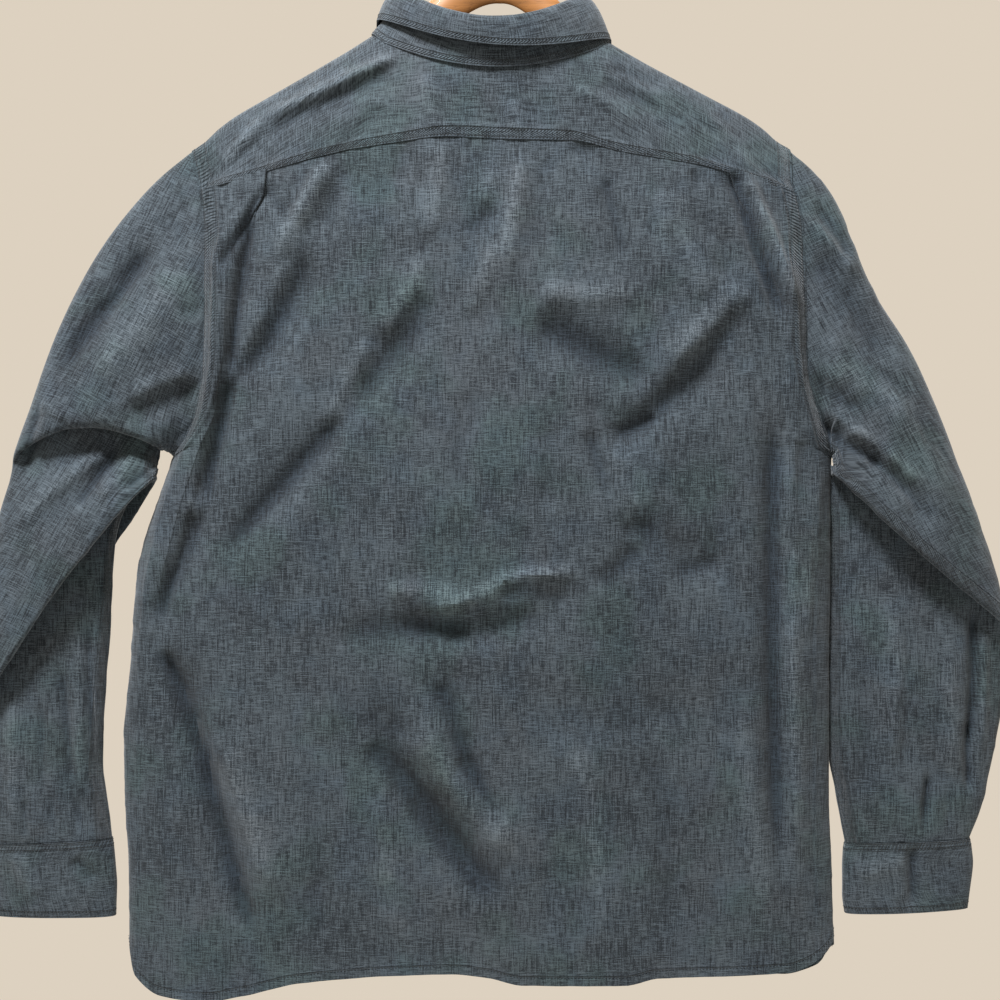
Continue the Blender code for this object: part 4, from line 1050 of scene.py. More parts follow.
# The creases of the back, from the left pleat to the middle and on to the right one.
BACK_CREASES = folds("""
-209 146 -224 222 -232 300 6 -8
-228 286 -243 345 -258 404 8 -9
-256 400 -276 455 -299 507 9 -7
-278 362 -294 396 -310 430 6 2.6
-244 320 -258 390 -288 470 7 4
-292 520 -264 579 -244 650 7 -9
-256 616 -234 695 -210 776 8 -9
-262 600 -244 660 -226 720 8 4
-236 600 -214 668 -192 740 9 4
-199 128 -226 176 -240 202 4 -6
-199 127 -191 141 -182 155 5 -4
-162 114 -172 136 -186 164 6 -5
-140 104 -168 140 -192 196 9 5.5
-130 110 -142 144 -149 170 9 -4
-160 178 -186 247 -232 306 8 -4
-180 190 -204 240 -226 282 6 3
-51 89 -47 123 -65 183 8 4
-65 183 -68 221 -109 259 9 5
-109 259 -128 293 -149 336 9 4
-58 218 -81 268 -132 323 11 -3.5
-132 323 -179 379 -243 447 9 -7
-111 167 -90 155 -68 147 3.5 -2
-78 153 -66 187 -50 217 4 -3
-83 97 -84 114 -85 131 6 -3
0 114 -10 130 -21 146 8 3
0 150 -17 159 -32 170 7 -4
-3 178 -17 212 -28 242 6 4
19 97 12 153 4 210 6 4
38 100 36 150 30 200 8 -2.5
60 96 72 98 85 102 8 -3
88 119 95 153 107 198 6 -4.5
140 130 136 170 140 210 9 2.5
30 215 77 232 121 212 11 5
24 240 81 268 140 300 15 -4.5
209 212 192 236 141 283 10 6
213 226 162 285 122 330 10 -4
132 321 119 340 90 341 7 -5
75 336 83 366 95 398 7 -5
40 330 46 370 36 410 10 -3
-20 300 -40 350 -34 400 12 -3
102 349 109 379 119 409 14 4
101 426 115 415 134 420 7 -4
119 434 102 455 81 471 10 -5
149 460 170 454 189 447 7 -4
-102 474 -60 466 -34 481 7 4
-60 490 -14 478 10 460 5 5.5
-4 464 30 456 72 457 5 5.5
-140 513 -68 494 -20 508 13 -5
-3 479 30 468 64 484 8 -4.5
-55 548 -41 579 -24 650 9 -5.5
-32 610 -14 650 6 668 8 -5
-40 590 -24 620 -6 690 9 -3.5
-116 604 -88 626 -64 656 9 -7
-76 642 -42 692 0 740 11 -10
-80 590 -46 640 20 700 14 5
234 311 230 515 240 737 9 -9
250 330 248 515 258 737 8 4
262 340 250 400 246 470 7 -3
276 366 266 430 262 520 7 3
194 110 214 165 246 254 8 -8.5
206 112 232 170 254 236 5 5.5
230 204 237 220 243 236 4 -3
170 222 176 226 182 229 6 -4
164 116 167 125 170 133 6 -3
175 153 177 164 179 176 6 -3
193 166 191 188 189 210 6 -3
150 128 158 190 186 244 11 3
60 590 92 680 84 778 12 3
126 600 150 690 138 780 13 -3.5
206 560 214 660 232 770 12 3
-168 620 -150 700 -158 784 11 -3
-112 640 -88 716 -86 786 10 2.5
-6 700 14 740 12 790 10 -2.5
""")

# The creases of the yoke: over the left arm of the hanger, in the middle and on the right.
YOKE_CREASES = folds("""
-80 13 -148 45 -212 74 6 5.5
-202 68 -222 88 -240 112 5 5
-80 27 -150 58 -216 86 10 -4
-212 92 -200 100 -188 106 4 -2
-64 33 -62 60 -54 85 8 3
-100 60 -110 78 -140 96 8 -2.5
13 55 15 70 17 85 8 3
60 44 96 60 122 80 5 2.5
84 40 112 50 144 66 7 -3.5
90 26 118 33 142 42 6 -3
170 62 196 84 222 112 6 2.5
""")

# The creases of the fronts, much as on the back: from the armholes, at the waist and above the hem.
FRONT_CREASES = folds("""
-254 300 -262 350 -284 410 6 4
-230 330 -246 380 -280 440 7 -5
-190 180 -196 240 -186 300 9 4
-150 200 -130 250 -100 280 8 -4
-120 470 -84 500 -40 486 6 4
-170 520 -120 560 -60 548 9 -5
-190 640 -176 710 -180 780 11 4
-92 620 -84 700 -96 780 10 -4
254 300 262 350 276 410 6 4
232 330 246 380 268 440 7 -5
180 190 190 240 180 300 9 4
130 240 110 300 60 330 9 -4
60 476 96 500 140 478 6 4
84 540 130 562 190 540 9 -5
70 630 82 700 74 780 11 4
150 620 142 700 156 780 10 -4
""")

# The creases of the sleeves' back layers, the left sleeve's first, down to the cuffs.
SLEEVE_CREASES = folds("""
-298 178 -335 231 -384 294 10 -9
-320 204 -332 216 -342 226 4 3
-262 190 -300 250 -350 300 14 4
-273 234 -264 233 -256 238 4 -3.5
-318 323 -292 304 -254 295 5 -2.5
-316 312 -288 292 -262 286 7 3
-390 315 -402 345 -413 375 6 -5
-392 314 -378 318 -366 328 5 3
-332 351 -375 379 -422 426 7 4.5
-326 345 -350 386 -361 404 5 -5
-311 355 -330 378 -341 396 6 4
-294 366 -308 376 -320 387 6 -6
-358 490 -356 566 -352 643 4 -4.5
-343 481 -342 540 -343 600 4 -3.5
-381 541 -375 583 -373 650 6 -5
-364 515 -364 590 -362 660 5 3
-396 566 -398 610 -396 652 5 -3
-420 560 -424 620 -418 680 7 3
-366 652 -363 670 -364 688 4 -3
-352 650 -349 668 -350 688 3.5 -3
-388 650 -386 668 -388 690 4 -2.5
-412 654 -410 672 -411 690 4 -3
253 146 281 174 307 206 4 4
269 144 288 167 303 193 7 -6
267 180 300 228 335 282 14 -5
281 282 315 299 352 330 9 4
264 291 287 305 309 325 6 -5
318 285 331 294 344 305 5 -3
355 340 368 346 381 356 4 -3.5
267 322 290 344 330 374 6 -6
272 316 310 344 372 392 6 5
300 352 330 386 352 410 6 4
330 300 356 350 384 400 9 2.5
410 486 413 550 406 612 5.5 -8
406 584 404 618 408 652 5.5 -8
417 500 421 550 415 620 5 4
390 520 392 580 388 640 9 3
371 632 369 658 367 686 4 -6
330 642 332 664 331 688 4 -2.5
388 646 388 664 389 688 4 -2.5
312 520 318 590 314 660 8 -3
340 470 346 560 338 640 9 3
350 560 352 600 346 630 8 -2.5
""")

# The creases of the cuffs.
CUFF_CREASES = folds("""
357 672 356 710 358 752 6 -5
346 676 347 710 349 748 8 2
310 722 330 712 350 708 9 2.5
-370 706 -360 714 -352 728 7 -3
-420 700 -412 720 -396 740 9 2.5
""")


# How finely each piece is made: rows beside the armhole and below it, columns and rings.
BACK_ROWS = (70, 108)
FRONT_ROWS = (52, 84)
BACK_ACROSS = 5
YOKE_SIDE = 24
YOKE_SEAM_COLUMNS = 169
YOKE_ROWS = 46
SLEEVE_AROUND = 160
SLEEVE_STEPS = 6


def laps(points, normals, *edges):
    """Raise bands along several edges, and carry each edge past its seam."""
    raised, carried = 0.0, 0.0
    for edge, crossing, over, out, band in edges:
        away = from_edge(points, edge)[..., None]
        crossing = np.asarray(crossing, float)
        if crossing.ndim == 2:
            crossing = crossing[None] if edge in ("top", "bottom") else crossing[:, None]
        raised = np.maximum(raised, out * ease((band + 1.4 - away) / 2.2))
        carried = carried + crossing * over * np.clip(1 - away / band, 0, 1)
    return points + normals * raised + carried


# ---------------------------------------------------------------- the back and the yoke


def edge_looks(side, down, face):
    """Out past the armhole's seam, and a little towards the other panel below it."""
    outward = np.array([-1.0 if side == "left" else 1.0, 0.0, 0.0])
    other = np.array([0.0, -0.3 * face, 0.0])
    return mix(outward, other, ease((down[:, None] - ARMHOLE_ROW + 0.02) / 0.03))


def pleat_columns(side, side_x, drop, down):
    """Across and lift of the seven columns that run down a pleat, from the side inwards."""
    pleat = PLEATS[side]
    drop = drop + (pleat["drop"][0] - drop[0]) * (1 - down)
    edge, valley, lift = (smooth(drop, pleat["drop"], pleat[k]) for k in ("edge", "valley", "lift"))
    sways = ease((drop - 150) / 60)
    edge, valley = (
        line + 2.2 * sways * rumple(drop / 27, 0 * drop + 0.5, seed)
        for line, seed in ((edge, 61), (valley, 67))
    )
    inward = 1.0 if side == "left" else -1.0
    x = [
        edge - inward * np.minimum(PLEAT_APPROACH, 0.5 * (edge - side_x) * inward),
        edge - inward * PLEAT_TURN,
        edge,
        mix(edge, valley, PLEAT_FACE[0]),
        mix(edge, valley, PLEAT_FACE[1]),
        valley,
        valley + inward * PLEAT_FOOT,
    ]
    parted = ease((valley - edge) * inward / PLEAT_PARTED)
    lifts = [
        1.0, mix(1.0, 0.96, parted), mix(0.76, 0.86, parted), 0.5, mix(0.5, 0.2, parted), 0.22, 0.0,
    ]
    return [np.stack([xs, lift * share], axis=-1) for xs, share in zip(x, lifts)]


def back_grid(down):
    """Across, flat share and pleat lift of the back at each row, and where its edges are."""
    left, right = (
        body_edge(side, down, -1, YOKE_BACK_CORNER[side], BACK_HEM["drop"][end])
        for side, end in (("left", 0), ("right", -1))
    )
    drop = (drops(left) + drops(right)) / 2
    columns = {}
    for side, edge in (("left", left), ("right", right)):
        pleat = pleat_columns(side, edge[:, 0], drop, down)
        start = pleat[0][:, 0]
        outer = [
            np.stack([mix(edge[:, 0], start, share), share * pleat[0][:, 1]], axis=-1)
            for share in SIDE_SHARES
        ]
        columns[side] = outer + pleat
    first, last = columns["left"][-1][:, 0], columns["right"][-1][:, 0]
    shares = np.linspace(0, 1, MIDDLE_COLUMNS + 2)[1:-1]
    middle = [np.stack([mix(first, last, share), 0 * first], axis=-1) for share in shares]
    grid = np.stack(columns["left"] + middle + columns["right"][::-1], axis=1)
    return grid[..., 0], grid[..., 1], left, right


def over_shoulder(side, steps):
    """The armhole from the yoke's front corner, over the shoulder point, to its back corner."""
    share = np.linspace(0, 1, steps + 1)
    front = armhole(side, YOKE_FRONT_CORNER * (1 - share) ** 2, 1)
    back = armhole(side, YOKE_BACK_CORNER[side] * share**2, -1)
    return np.concatenate([front, back[1:]])


def back_cloth():
    """The back with its pleats, soft folds and creases, how far down each row is, and the mark for the painted
    shade in its troughs and the paler ridges.
    """
    down = panel_rows(MEAN_CORNER, *BACK_ROWS)
    x, lift, left, right = back_grid(down)
    x, lift = np.moveaxis(finer(np.stack([x, lift], -1), BACK_ACROSS, 1), -1, 0)
    width = right[:, None, 0] - left[:, None, 0]
    across = (x - left[:, None, 0]) / width
    drop = mix(drops(left)[:, None], drops(right)[:, None], across)
    top = smooth(x[0], YOKE_SEAM["x"], YOKE_SEAM["drop"])
    top += mix(drop[0, 0] - top[0], drop[0, -1] - top[-1], across[0])
    flat = lift[0] < 1e-6
    top = np.interp(x[0], x[0][flat], top[flat])
    hem = smooth(across[-1], BACK_HEM["across"], BACK_HEM["drop"])
    rows = down[:, None]
    drop = drop + (top - drop[0]) * (1 - rows) + (hem - drop[-1]) * rows**HEM_REACH
    edge = np.where(across < 0.5, left[:, None, 1], right[:, None, 1])
    deep = smooth(drop, DEPTHS["drop"], DEPTHS["back"])
    y = -rounded_depth(2 * across - 1, edge, deep)
    at_side, at_top = BACK_FOLD_MARGIN
    inside = ease(np.minimum(across, 1 - across) / at_side) * ease(rows / at_top)
    folds = relief(x, drop, BACK_FOLDS) * FOLD_KEPT * inside
    near = ease(np.minimum(across, 1 - across) / 0.02)
    fine = creased(x, drop, BACK_CREASES) * near * ease(rows / 0.012)
    fine = fine + 1.15 * crumple(x, drop, 11) * near * ease(rows / 0.02)
    y = y - folds - lift * PLEAT_KEPT - fine
    return place(x, y, drop), down, fine + FOLD_SHADE_AND_RUBBING * folds


def yoke_seam_points():
    """The seam under the yoke, on the back's own top edge but straight across its pleats."""
    points, _, _ = back_cloth()
    x, y, drop = points[0, :, 0], points[0, :, 1], drops(points[0])
    keep = np.ones(len(x), bool)
    for side in ("left", "right"):
        sign = -1 if side == "left" else 1
        keep &= (x * sign < 172) | (x * sign > 232)
    order = np.argsort(x[keep])
    x, y, drop = (a[keep][order] for a in (x, y, drop))
    even = np.linspace(x[0], x[-1], YOKE_SEAM_COLUMNS)
    return place(even, np.interp(even, x, y), np.interp(even, x, drop))


def yoke_cloth():
    """The yoke from the neck seam out to its rim, which way the rim looks, its threads, and the mark for the
    painted shade in its troughs and the paler ridges.
    """
    left, right = (over_shoulder(side, YOKE_SIDE // 2) for side in ("left", "right"))
    seam_line = yoke_seam_points()
    rim = np.concatenate([left[:-1], seam_line, right[::-1][1:]])
    looks = np.zeros_like(rim)
    looks[:, 2] = -1
    looks[:YOKE_SIDE] = (-1, 0, 0)
    looks[-YOKE_SIDE:] = (1, 0, 0)
    looks[YOKE_SIDE], looks[-YOKE_SIDE - 1] = (-0.7, 0, -0.7), (0.7, 0, -0.7)
    angles = np.concatenate(
        [
            np.linspace(-NECK_YOKE_FRONT, -NECK_YOKE_BACK, YOKE_SIDE + 1)[:-1],
            np.linspace(-NECK_YOKE_BACK, NECK_YOKE_BACK, len(seam_line)),
            np.linspace(NECK_YOKE_BACK, NECK_YOKE_FRONT, YOKE_SIDE + 1)[1:],
        ]
    )
    out = np.linspace(0, 1, YOKE_ROWS)[:, None]
    points = mix(neck(angles)[None], rim[None], out[..., None])
    reach = np.abs(points[..., 0] - NECK_CENTRE) - NECK_HALF_WIDTH
    straight = mix(SHOULDER["drop"][0], SHOULDER["drop"][-1], reach / SHOULDER["out"][-1])
    shoulder = smooth(reach, SHOULDER["out"], SHOULDER["drop"])
    ridge = np.exp(-((points[..., 1] / RIDGE_WIDTH) ** 2)) * (reach > 0) * ease((1 - out) / 0.14)
    ends = ease(np.minimum(np.arange(len(rim)), np.arange(len(rim))[::-1]) / 6)
    points[..., 2] -= (shoulder - straight) * ridge * ends
    x, drop = points[..., 0], drops(points)
    lifted = relief(x, drop, YOKE_FOLDS) * np.sin(math.pi * out) ** 0.5
    fine = creased(x, drop, YOKE_CREASES) * ease(out / 0.12) * ease((1 - out) / 0.05 + 0.3)
    fine = fine + 0.8 * crumple(x, drop, 21) * ease(out / 0.2) * ease((1 - out) / 0.1)
    points[..., 1] -= (lifted + fine) * ease(-points[..., 1] / YOKE_FOLD_MARGIN)
    grain = np.hypot(drops(points) - shoulder, points[..., 1]) * np.where(points[..., 1] < 0, 1, -1)
    return points, looks, np.stack([grain, points[..., 0]], -1), fine


# ---------------------------------------------------------------- the fronts


def front_cloth(side):
    """One front, with columns from its side seam to its centre edge."""
    sign = -1 if side == "left" else 1
    rows = panel_rows(YOKE_FRONT_CORNER, *FRONT_ROWS)
    across = finer(FRONT_SHARES, 8)[None, :]
    down = rows[:, None]
    edge = body_edge(side, rows, 1, YOKE_FRONT_CORNER, FRONT_HEM["drop"][0])[:, None]
    centre = -sign * FRONT_OVERLAP
    shoulder = neck(np.array(sign * NECK_YOKE_FRONT))
    on_seam = np.clip(across[0] / SHOULDER_SHARE, 0, 1)[:, None]
    round_neck = np.clip((across[0] - SHOULDER_SHARE) / (1 - SHOULDER_SHARE), 0, 1)
    past_centre = math.asin(abs(centre - NECK_CENTRE) / NECK_HALF_WIDTH)
    curve = neck(sign * mix(NECK_YOKE_FRONT, math.pi + past_centre, round_neck))
    top = np.where((across[0] > SHOULDER_SHARE)[:, None], curve, mix(edge[0], shoulder, on_seam))
    plain_x = mix(edge[..., 0], centre, across)
    x = plain_x + (top[:, 0] - plain_x[0]) * (1 - down) ** 3
    hem = smooth(across[0], FRONT_HEM["across"], FRONT_HEM["drop"])
    level = drops(edge) + 0 * across
    drop = level + (drops(top) - level[0]) * (1 - down) + (hem - level[-1]) * down**HEM_REACH
    deep = smooth(drop, DEPTHS["drop"], DEPTHS["front"])
    y = rounded_depth(np.clip(np.abs(x / edge[..., 0]), 0, 1), edge[..., 1], deep)
    y = y + (top[:, 1] - y[0]) * np.exp(-((down / NECK_REACH) ** 2))
    at_side, at_placket, fading, at_top = FRONT_FOLD_MARGIN
    inside = ease(across / at_side) * ease((at_placket - across) / fading) * ease(down / at_top)
    y = y + relief(x, drop, FRONT_FOLDS) * FOLD_KEPT * inside
    near = ease(across / 0.04) * ease((0.9 - across) / 0.08) * ease(down / 0.03)
    fine = (creased(x, drop, FRONT_CREASES) + 1.1 * crumple(x, drop, 31 + sign)) * near
    y = y + fine
    if side == "left":
        y = y + (BODY_SOLID + LAP_GAP) * ease((across - FRONT_LAP[0]) / FRONT_LAP[1])
    return place(x, y, drop), rows, fine


def facing_out(side, points):
    """The grid turned so that its columns go to the right when it is seen from the front."""
    return points[:, ::-1] if side == "left" else points


def placket_cloth():
    """The strip down the left front, on that front's own surface."""
    front, _, _ = front_cloth("left")
    front = front + sheet_normals(front[:, ::-1])[:, ::-1] * (BODY_SOLID / 2 + PLACKET_GAP + PLACKET_DEPTH / 2)
    x = np.linspace(FRONT_OVERLAP - PLACKET_INSET, FRONT_OVERLAP - PLACKET_WIDTH, 15)
    points = np.stack(
        [np.array([np.interp(x, line[:, 0], line[:, k]) for line in front]) for k in range(3)], -1,
    )
    points[..., 0] = x
    points[0, :, 2] -= PLACKET_BELOW_NECK
    return points


# ---------------------------------------------------------------- collar, sleeves and cuffs


def collar_ring(angle, size):
    """A ring of the collar, which dips at the back and falls to the front."""
    side, behind = np.sin(angle), np.cos(angle)
    back = behind > 0
    half_width = size["half_width"] + size["widen"] * np.clip(-behind, 0, 1)
    front = np.abs(behind)
    y = np.where(back, -size["back"] * behind, size["front"] * front**COLLAR_FRONT_ROUND)
    drop = np.where(back, size["dip"] * behind**2, size["fall"] * front**COLLAR_FRONT_FALL)
    drop = drop + size["drop"] + size["tilt"] * side
    return place(size["centre"] + half_width * side, y, drop)


def stand_sheet(columns, rows):
    """The band round the neck, from its top edge down to the neck seam."""
    angle = np.linspace(-math.pi - STAND_LAP, math.pi + STAND_LAP, columns)[None, :]
    down = np.linspace(0, 1, rows)[:, None, None]
    # The stand's lower edge lies outside the neck seam at the back, and on it elsewhere.
    base = neck(angle)
    behind = np.clip(np.cos(angle), 0, 1)
    base[..., 1] -= STAND_OUTSIDE * behind**0.5
    base[..., 2] += mix(STAND_ABOVE_SEAM, -STAND_BELOW_SEAM - 1.0, np.clip(2.2 * behind, 0, 1) ** 2)
    points = mix(collar_ring(angle, STAND_TOP), base, down)
    # The left end laps over the right one at the front.
    over = ease((-angle - STAND_LAP_START) / STAND_LAP_EASE)
    points[..., 1] += (STAND_SOLID + LAP_GAP) * over
    return points


def leaf_sheet(columns, rows):
    """The leaf, which rolls over the top of the stand and falls outside it."""
    angle = np.linspace(-LEAF_END, LEAF_END, columns)[None, :]
    down = np.linspace(0, 1, rows)[:, None, None]
    start = collar_ring(angle, STAND_TOP)
    behind = np.clip(np.cos(angle), 0, 1)
    start[..., 2] += STAND_SOLID / 2 + LAP_GAP + LEAF_CLEAR * (1 - behind**2)
    outward = unit(np.stack([np.sin(angle), -np.cos(angle), 0 * angle], axis=-1))
    roll = start + outward * LEAF_ROLL[0]
    roll[..., 2] += LEAF_ROLL[1]
    end = collar_ring(angle, LEAF_EDGE)
    return (1 - down) ** 2 * start + 2 * down * (1 - down) * roll + down**2 * end


def rings(rows, turns):
    """Rings of points round a sleeve. A turn is 0 at the outer edge, 0.25 on the back, 0.5 inside."""
    value = {name: column[:, None] for name, column in rows.items()}
    angle = TURN * turns[None, :]
    across = (1 - np.cos(angle)) / 2
    back = np.clip(np.sin(angle), 0, 1)
    front = np.clip(-np.sin(angle), 0, 1)
    x = mix(value["outer_x"], value["inner_x"], across) + value["shift"] * back**2
    drop = mix(value["outer_drop"], value["inner_drop"], across) - value["rise"] * back**2
    y = mix(value["outer_y"], value["inner_y"], across)
    y = y - value["back"] * back**SLEEVE_ROUND + value["front"] * front**SLEEVE_ROUND
    return place(x, y, drop)


def cuff_sheet(side, steps, columns):
    """A band whose ends lap over each other on the front of the wrist."""
    rows = LEFT_CUFF if side == "left" else RIGHT_CUFF
    at = np.linspace(0, len(rows["rise"]) - 1, 3 * steps + 1)
    turns = np.linspace(CUFF_START, CUFF_START + 1 + CUFF_LAP, columns)
    points = rings({k: smooth(at, np.arange(len(v)), v) for k, v in rows.items()}, turns)
    over = ease((turns - CUFF_START - 1) / CUFF_LAP_EASE + 1)
    points[..., 1] += (CUFF_SOLID + LAP_GAP) * over
    return points if side == "left" else points[:, ::-1]


def sleeve_cloth(side):
    """A sleeve in rings from the armhole to the cuff, with columns to the right seen from outside."""
    rows = LEFT_SLEEVE if side == "left" else RIGHT_SLEEVE
    turns = np.arange(SLEEVE_AROUND) / SLEEVE_AROUND
    turns = turns if side == "left" else (-turns) % 1.0
    share, face = (1 - np.cos(TURN * turns)) / 2, np.where(turns < 0.5, -1, 1)
    armhole_ring = np.where((face < 0)[:, None], armhole(side, share, -1), armhole(side, share, 1))
    points = finer(np.concatenate([armhole_ring[None], rings(rows, turns)]), SLEEVE_STEPS)
    row = np.arange(len(points))[:, None] / SLEEVE_STEPS
    back = np.clip(np.sin(TURN * turns), 0, 1)[None, :]
    x, drop = points[..., 0], drops(points)
    upper = back * ease(row / 0.8) * ease((BEFORE_FOREARM - row) / 1.5)
    lifted = relief(x, drop, SLEEVE_FOLDS) * upper
    free = ease(row / 1.0) * ease((len(rows["rise"]) - row) / 0.8)
    fine = creased(x, drop, SLEEVE_CREASES) * np.sqrt(back) * free
    points[..., 1] -= lifted + fine
    u, v = steps_along(points, 1), steps_along(points, 0)
    wander = crumple(u + 400, v, 41 if side == "left" else 47)
    points = points + sheet_normals(points, True) * (1.1 * wander * free)[..., None]
    return points, FOLD_SHADE_AND_RUBBING * lifted + fine + 1.1 * wander * free


def felled_width(points, edge):
    """How wide the felled seam is on each row, so that it looks as wide where the edge turns away."""
    gone = from_edge(points, edge)
    aside = np.abs(points[..., 0] - points[:, [0 if edge == "left" else -1], 0])
    wide = []
    for seen, along in zip(aside, gone):
        order = np.argsort(seen)
        wide.append(np.interp(FELL, seen[order], along[order]))
    wide = np.pad(np.clip(wide, FELL, 1.7 * FELL), 6, "edge")
    return np.convolve(wide, np.full(13, 1 / 13), "valid")


def puckered(points, normals, along, away, size, seed):
    """The cloth with the small waves beside a line of sewing."""
    return points + normals * (size * puckers(along, away, seed))[..., None]


def sleeve_grain(points, elbow, inner):
    """Threads that run along the upper sleeve down to the elbow, and straight down below it."""
    closed = np.concatenate([points, points[:, :1]], 1)
    edgewise = np.cos(TURN * np.arange(SLEEVE_AROUND + 1) / SLEEVE_AROUND)
    x = closed[..., 0] - inner * edgewise * np.abs(edgewise) ** 3 * closed[..., 1]
    drop = drops(closed)
    level, steep = math.cos(-inner * SLEEVE_SLANT), math.sin(-inner * SLEEVE_SLANT)
    grain = np.stack([x, drop], -1)
    slanted = np.stack([x * level - drop * steep, x * steep + drop * level], -1)
    grain[:elbow] = slanted[:elbow]
    return grain


# ---------------------------------------------------------------- buttons, hanger and hook


def turned(centre, facing, profile, sides):
    """Rings of points about a line, by shares of radius and height in millimetres."""
    facing = unit(np.asarray(facing, float))
    side = unit(np.cross((0.0, 0.0, 1.0), facing))
    up = np.cross(facing, side)
    turn = TURN * np.arange(sides) / sides
    circle = np.cos(turn)[:, None] * side + np.sin(turn)[:, None] * up
    return np.array([centre + facing * height + radius * circle for radius, height in profile])


def solid_of_rings(points):
    """Points and faces of a closed solid through rings of points."""
    rows, columns = points.shape[:2]
    faces = [
        (r * columns + c, r * columns + (c + 1) % columns,
         (r + 1) * columns + (c + 1) % columns, (r + 1) * columns + c)
        for r in range(rows - 1)
        for c in range(columns)
    ]
    faces.append(tuple(reversed(range(columns))))
    faces.append(tuple((rows - 1) * columns + c for c in range(columns)))
    return points.reshape(-1, 3), faces


def joined(name, solids, sharp=40):
    """One mesh of several closed solids."""
    points, faces, count = [], [], 0
    for some, quads in solids:
        points.append(some)
        faces += [tuple(i + count for i in quad) for quad in quads]
        count += len(some)
    mesh = bpy.data.meshes.new(name)
    mesh.from_pydata((np.concatenate(points) * MM).tolist(), [], faces)
    mesh.shade_smooth()
    mesh.set_sharp_from_angle(angle=math.radians(sharp))
    return new_object(name, mesh)


# ---------------------------------------------------------------- what a user may change


def colour(name, description, default):
    return FloatVectorProperty(
        name=name, description=description, subtype="COLOR", size=3, min=0, max=1, default=default,
    )


def amount(name, description, default, most=1):
    return FloatProperty(name=name, description=description, default=default, min=0, max=most)


def measure(name, description, default, least, most=1.0):
    return FloatProperty(
        name=name, description=description, unit="LENGTH", default=default, min=least, max=most,
    )


class ClothSettings(bpy.types.PropertyGroup):
    dark: colour("Warp", "Colour of the dark warp threads", (0.007, 0.011, 0.0165))
    light: colour("Weft", "Colour of the pale weft threads", (0.060, 0.081, 0.104))
    thread: colour("Thread", "Colour of the sewing thread", (0.026, 0.035, 0.045))
    warp: amount("Warp streaks", "Contrast of the threads that run down", 1.3, 3)
    weft: amount("Weft streaks", "Contrast of the threads that run across", 1.3, 3)
    # How strong the painted shade in the troughs is, and how pale the ridges are, partly rubbed cloth and
    # partly painted light.
    shade_and_rubbing_strength: amount("Relief shade and rubbing", "How pale the ridges and how dark the troughs are", 0.8)
    weave: amount("Weave relief", "Strength of the weave's relief", 0.6)
    thick: measure("Thickness", "Thickness of the cloth", 0.0009, 0.0002)


class StitchSettings(bpy.types.PropertyGroup):
    pitch: measure("Pitch", "From one stitch to the next", 0.0029, 0.001)
    long: measure("Length", "Length of one stitch", 0.0022, 0.0005)
    thread: measure("Thread", "Thickness of the thread", 0.0005, 0.0001)
    seed: IntProperty(name="Seed", description="Seed of the stitches' small unevenness", default=7)


class ButtonSettings(bpy.types.PropertyGroup):
    shell: colour("Shell", "Colour of the buttons", (0.72, 0.69, 0.62))
    across: measure("Diameter", "Diameter of a button", BUTTON_ACROSS * MM, 0.006, 0.016)


class HangerSettings(bpy.types.PropertyGroup):
    wood: colour("Wood", "Colour of the varnished wood", (0.31, 0.135, 0.040))


class StageSettings(bpy.types.PropertyGroup):
    floor: colour("Floor", "Colour of the floor", (0.78, 0.75, 0.70))
    air: colour("Surroundings", "Colour of the light from all round", (0.723, 0.638, 0.527))
    light: FloatProperty(
        name="Soft light", description="Power of the soft light", unit="POWER", default=99.0, min=0,
    )


# ---------------------------------------------------------------- operators


class SHIRT_OT_back(bpy.types.Operator):
    """Make the back with its two pleats"""

    bl_idname = "shirt.back"
    bl_label = "Back"
    bl_options = {"REGISTER", "UNDO"}

    def execute(self, context):
        cloth = context.scene.shirt_cloth
        points, down, worn = back_cloth()
        normals = sheet_normals(points)
        run = steps_along(points, 0)
        for edge, seed in (("left", 101), ("right", 105)):
            points = puckered(points, normals, run, from_edge(points, edge), 0.55, seed)
        for edge, size, seed in (("top", 0.6, 109), ("bottom", 0.5, 113)):
            points = puckered(points, normals, points[..., 0], from_edge(points, edge), size, seed)
        band = {edge: felled_width(points, edge)[:, None] for edge in ("left", "right")}
        points = laps(points, normals, *(
            (edge, edge_looks(edge, down, -1), *FELL_LAP, wide[..., None])
            for edge, wide in band.items()
        ))
        normals = sheet_normals(points)
        hem, thick = from_edge(points, "bottom"), cloth.thick / MM
        fell = np.minimum(*(from_edge(points, edge) / wide for edge, wide in band.items()))
        fell = fell + 3 * ease((down[:, None] - ARMHOLE_ROW) / 0.02)
        piece = cloth_mesh(
            "shirt_back", points, hemmed(thick, hem), normals, grain=hanging_grain(points),
            fell=fell, hem=hem, run=run, worn=worn,
        )
        armhole_rows = BACK_ROWS[0] / sum(BACK_ROWS)
        for edge, wide in band.items():
            for share in (NEAR_ROW, FAR_ROW):
                stitch_beside(points, normals, edge, share * wide[:, 0], thick, 0.0, armhole_rows)
        stitch_beside(points, normals, "bottom", HEM_STITCH, thick + HEM_THICKER)
        tailored(piece, cloth, "back_panel", 0.74, 0.75, 0.47)
        return {"FINISHED"}


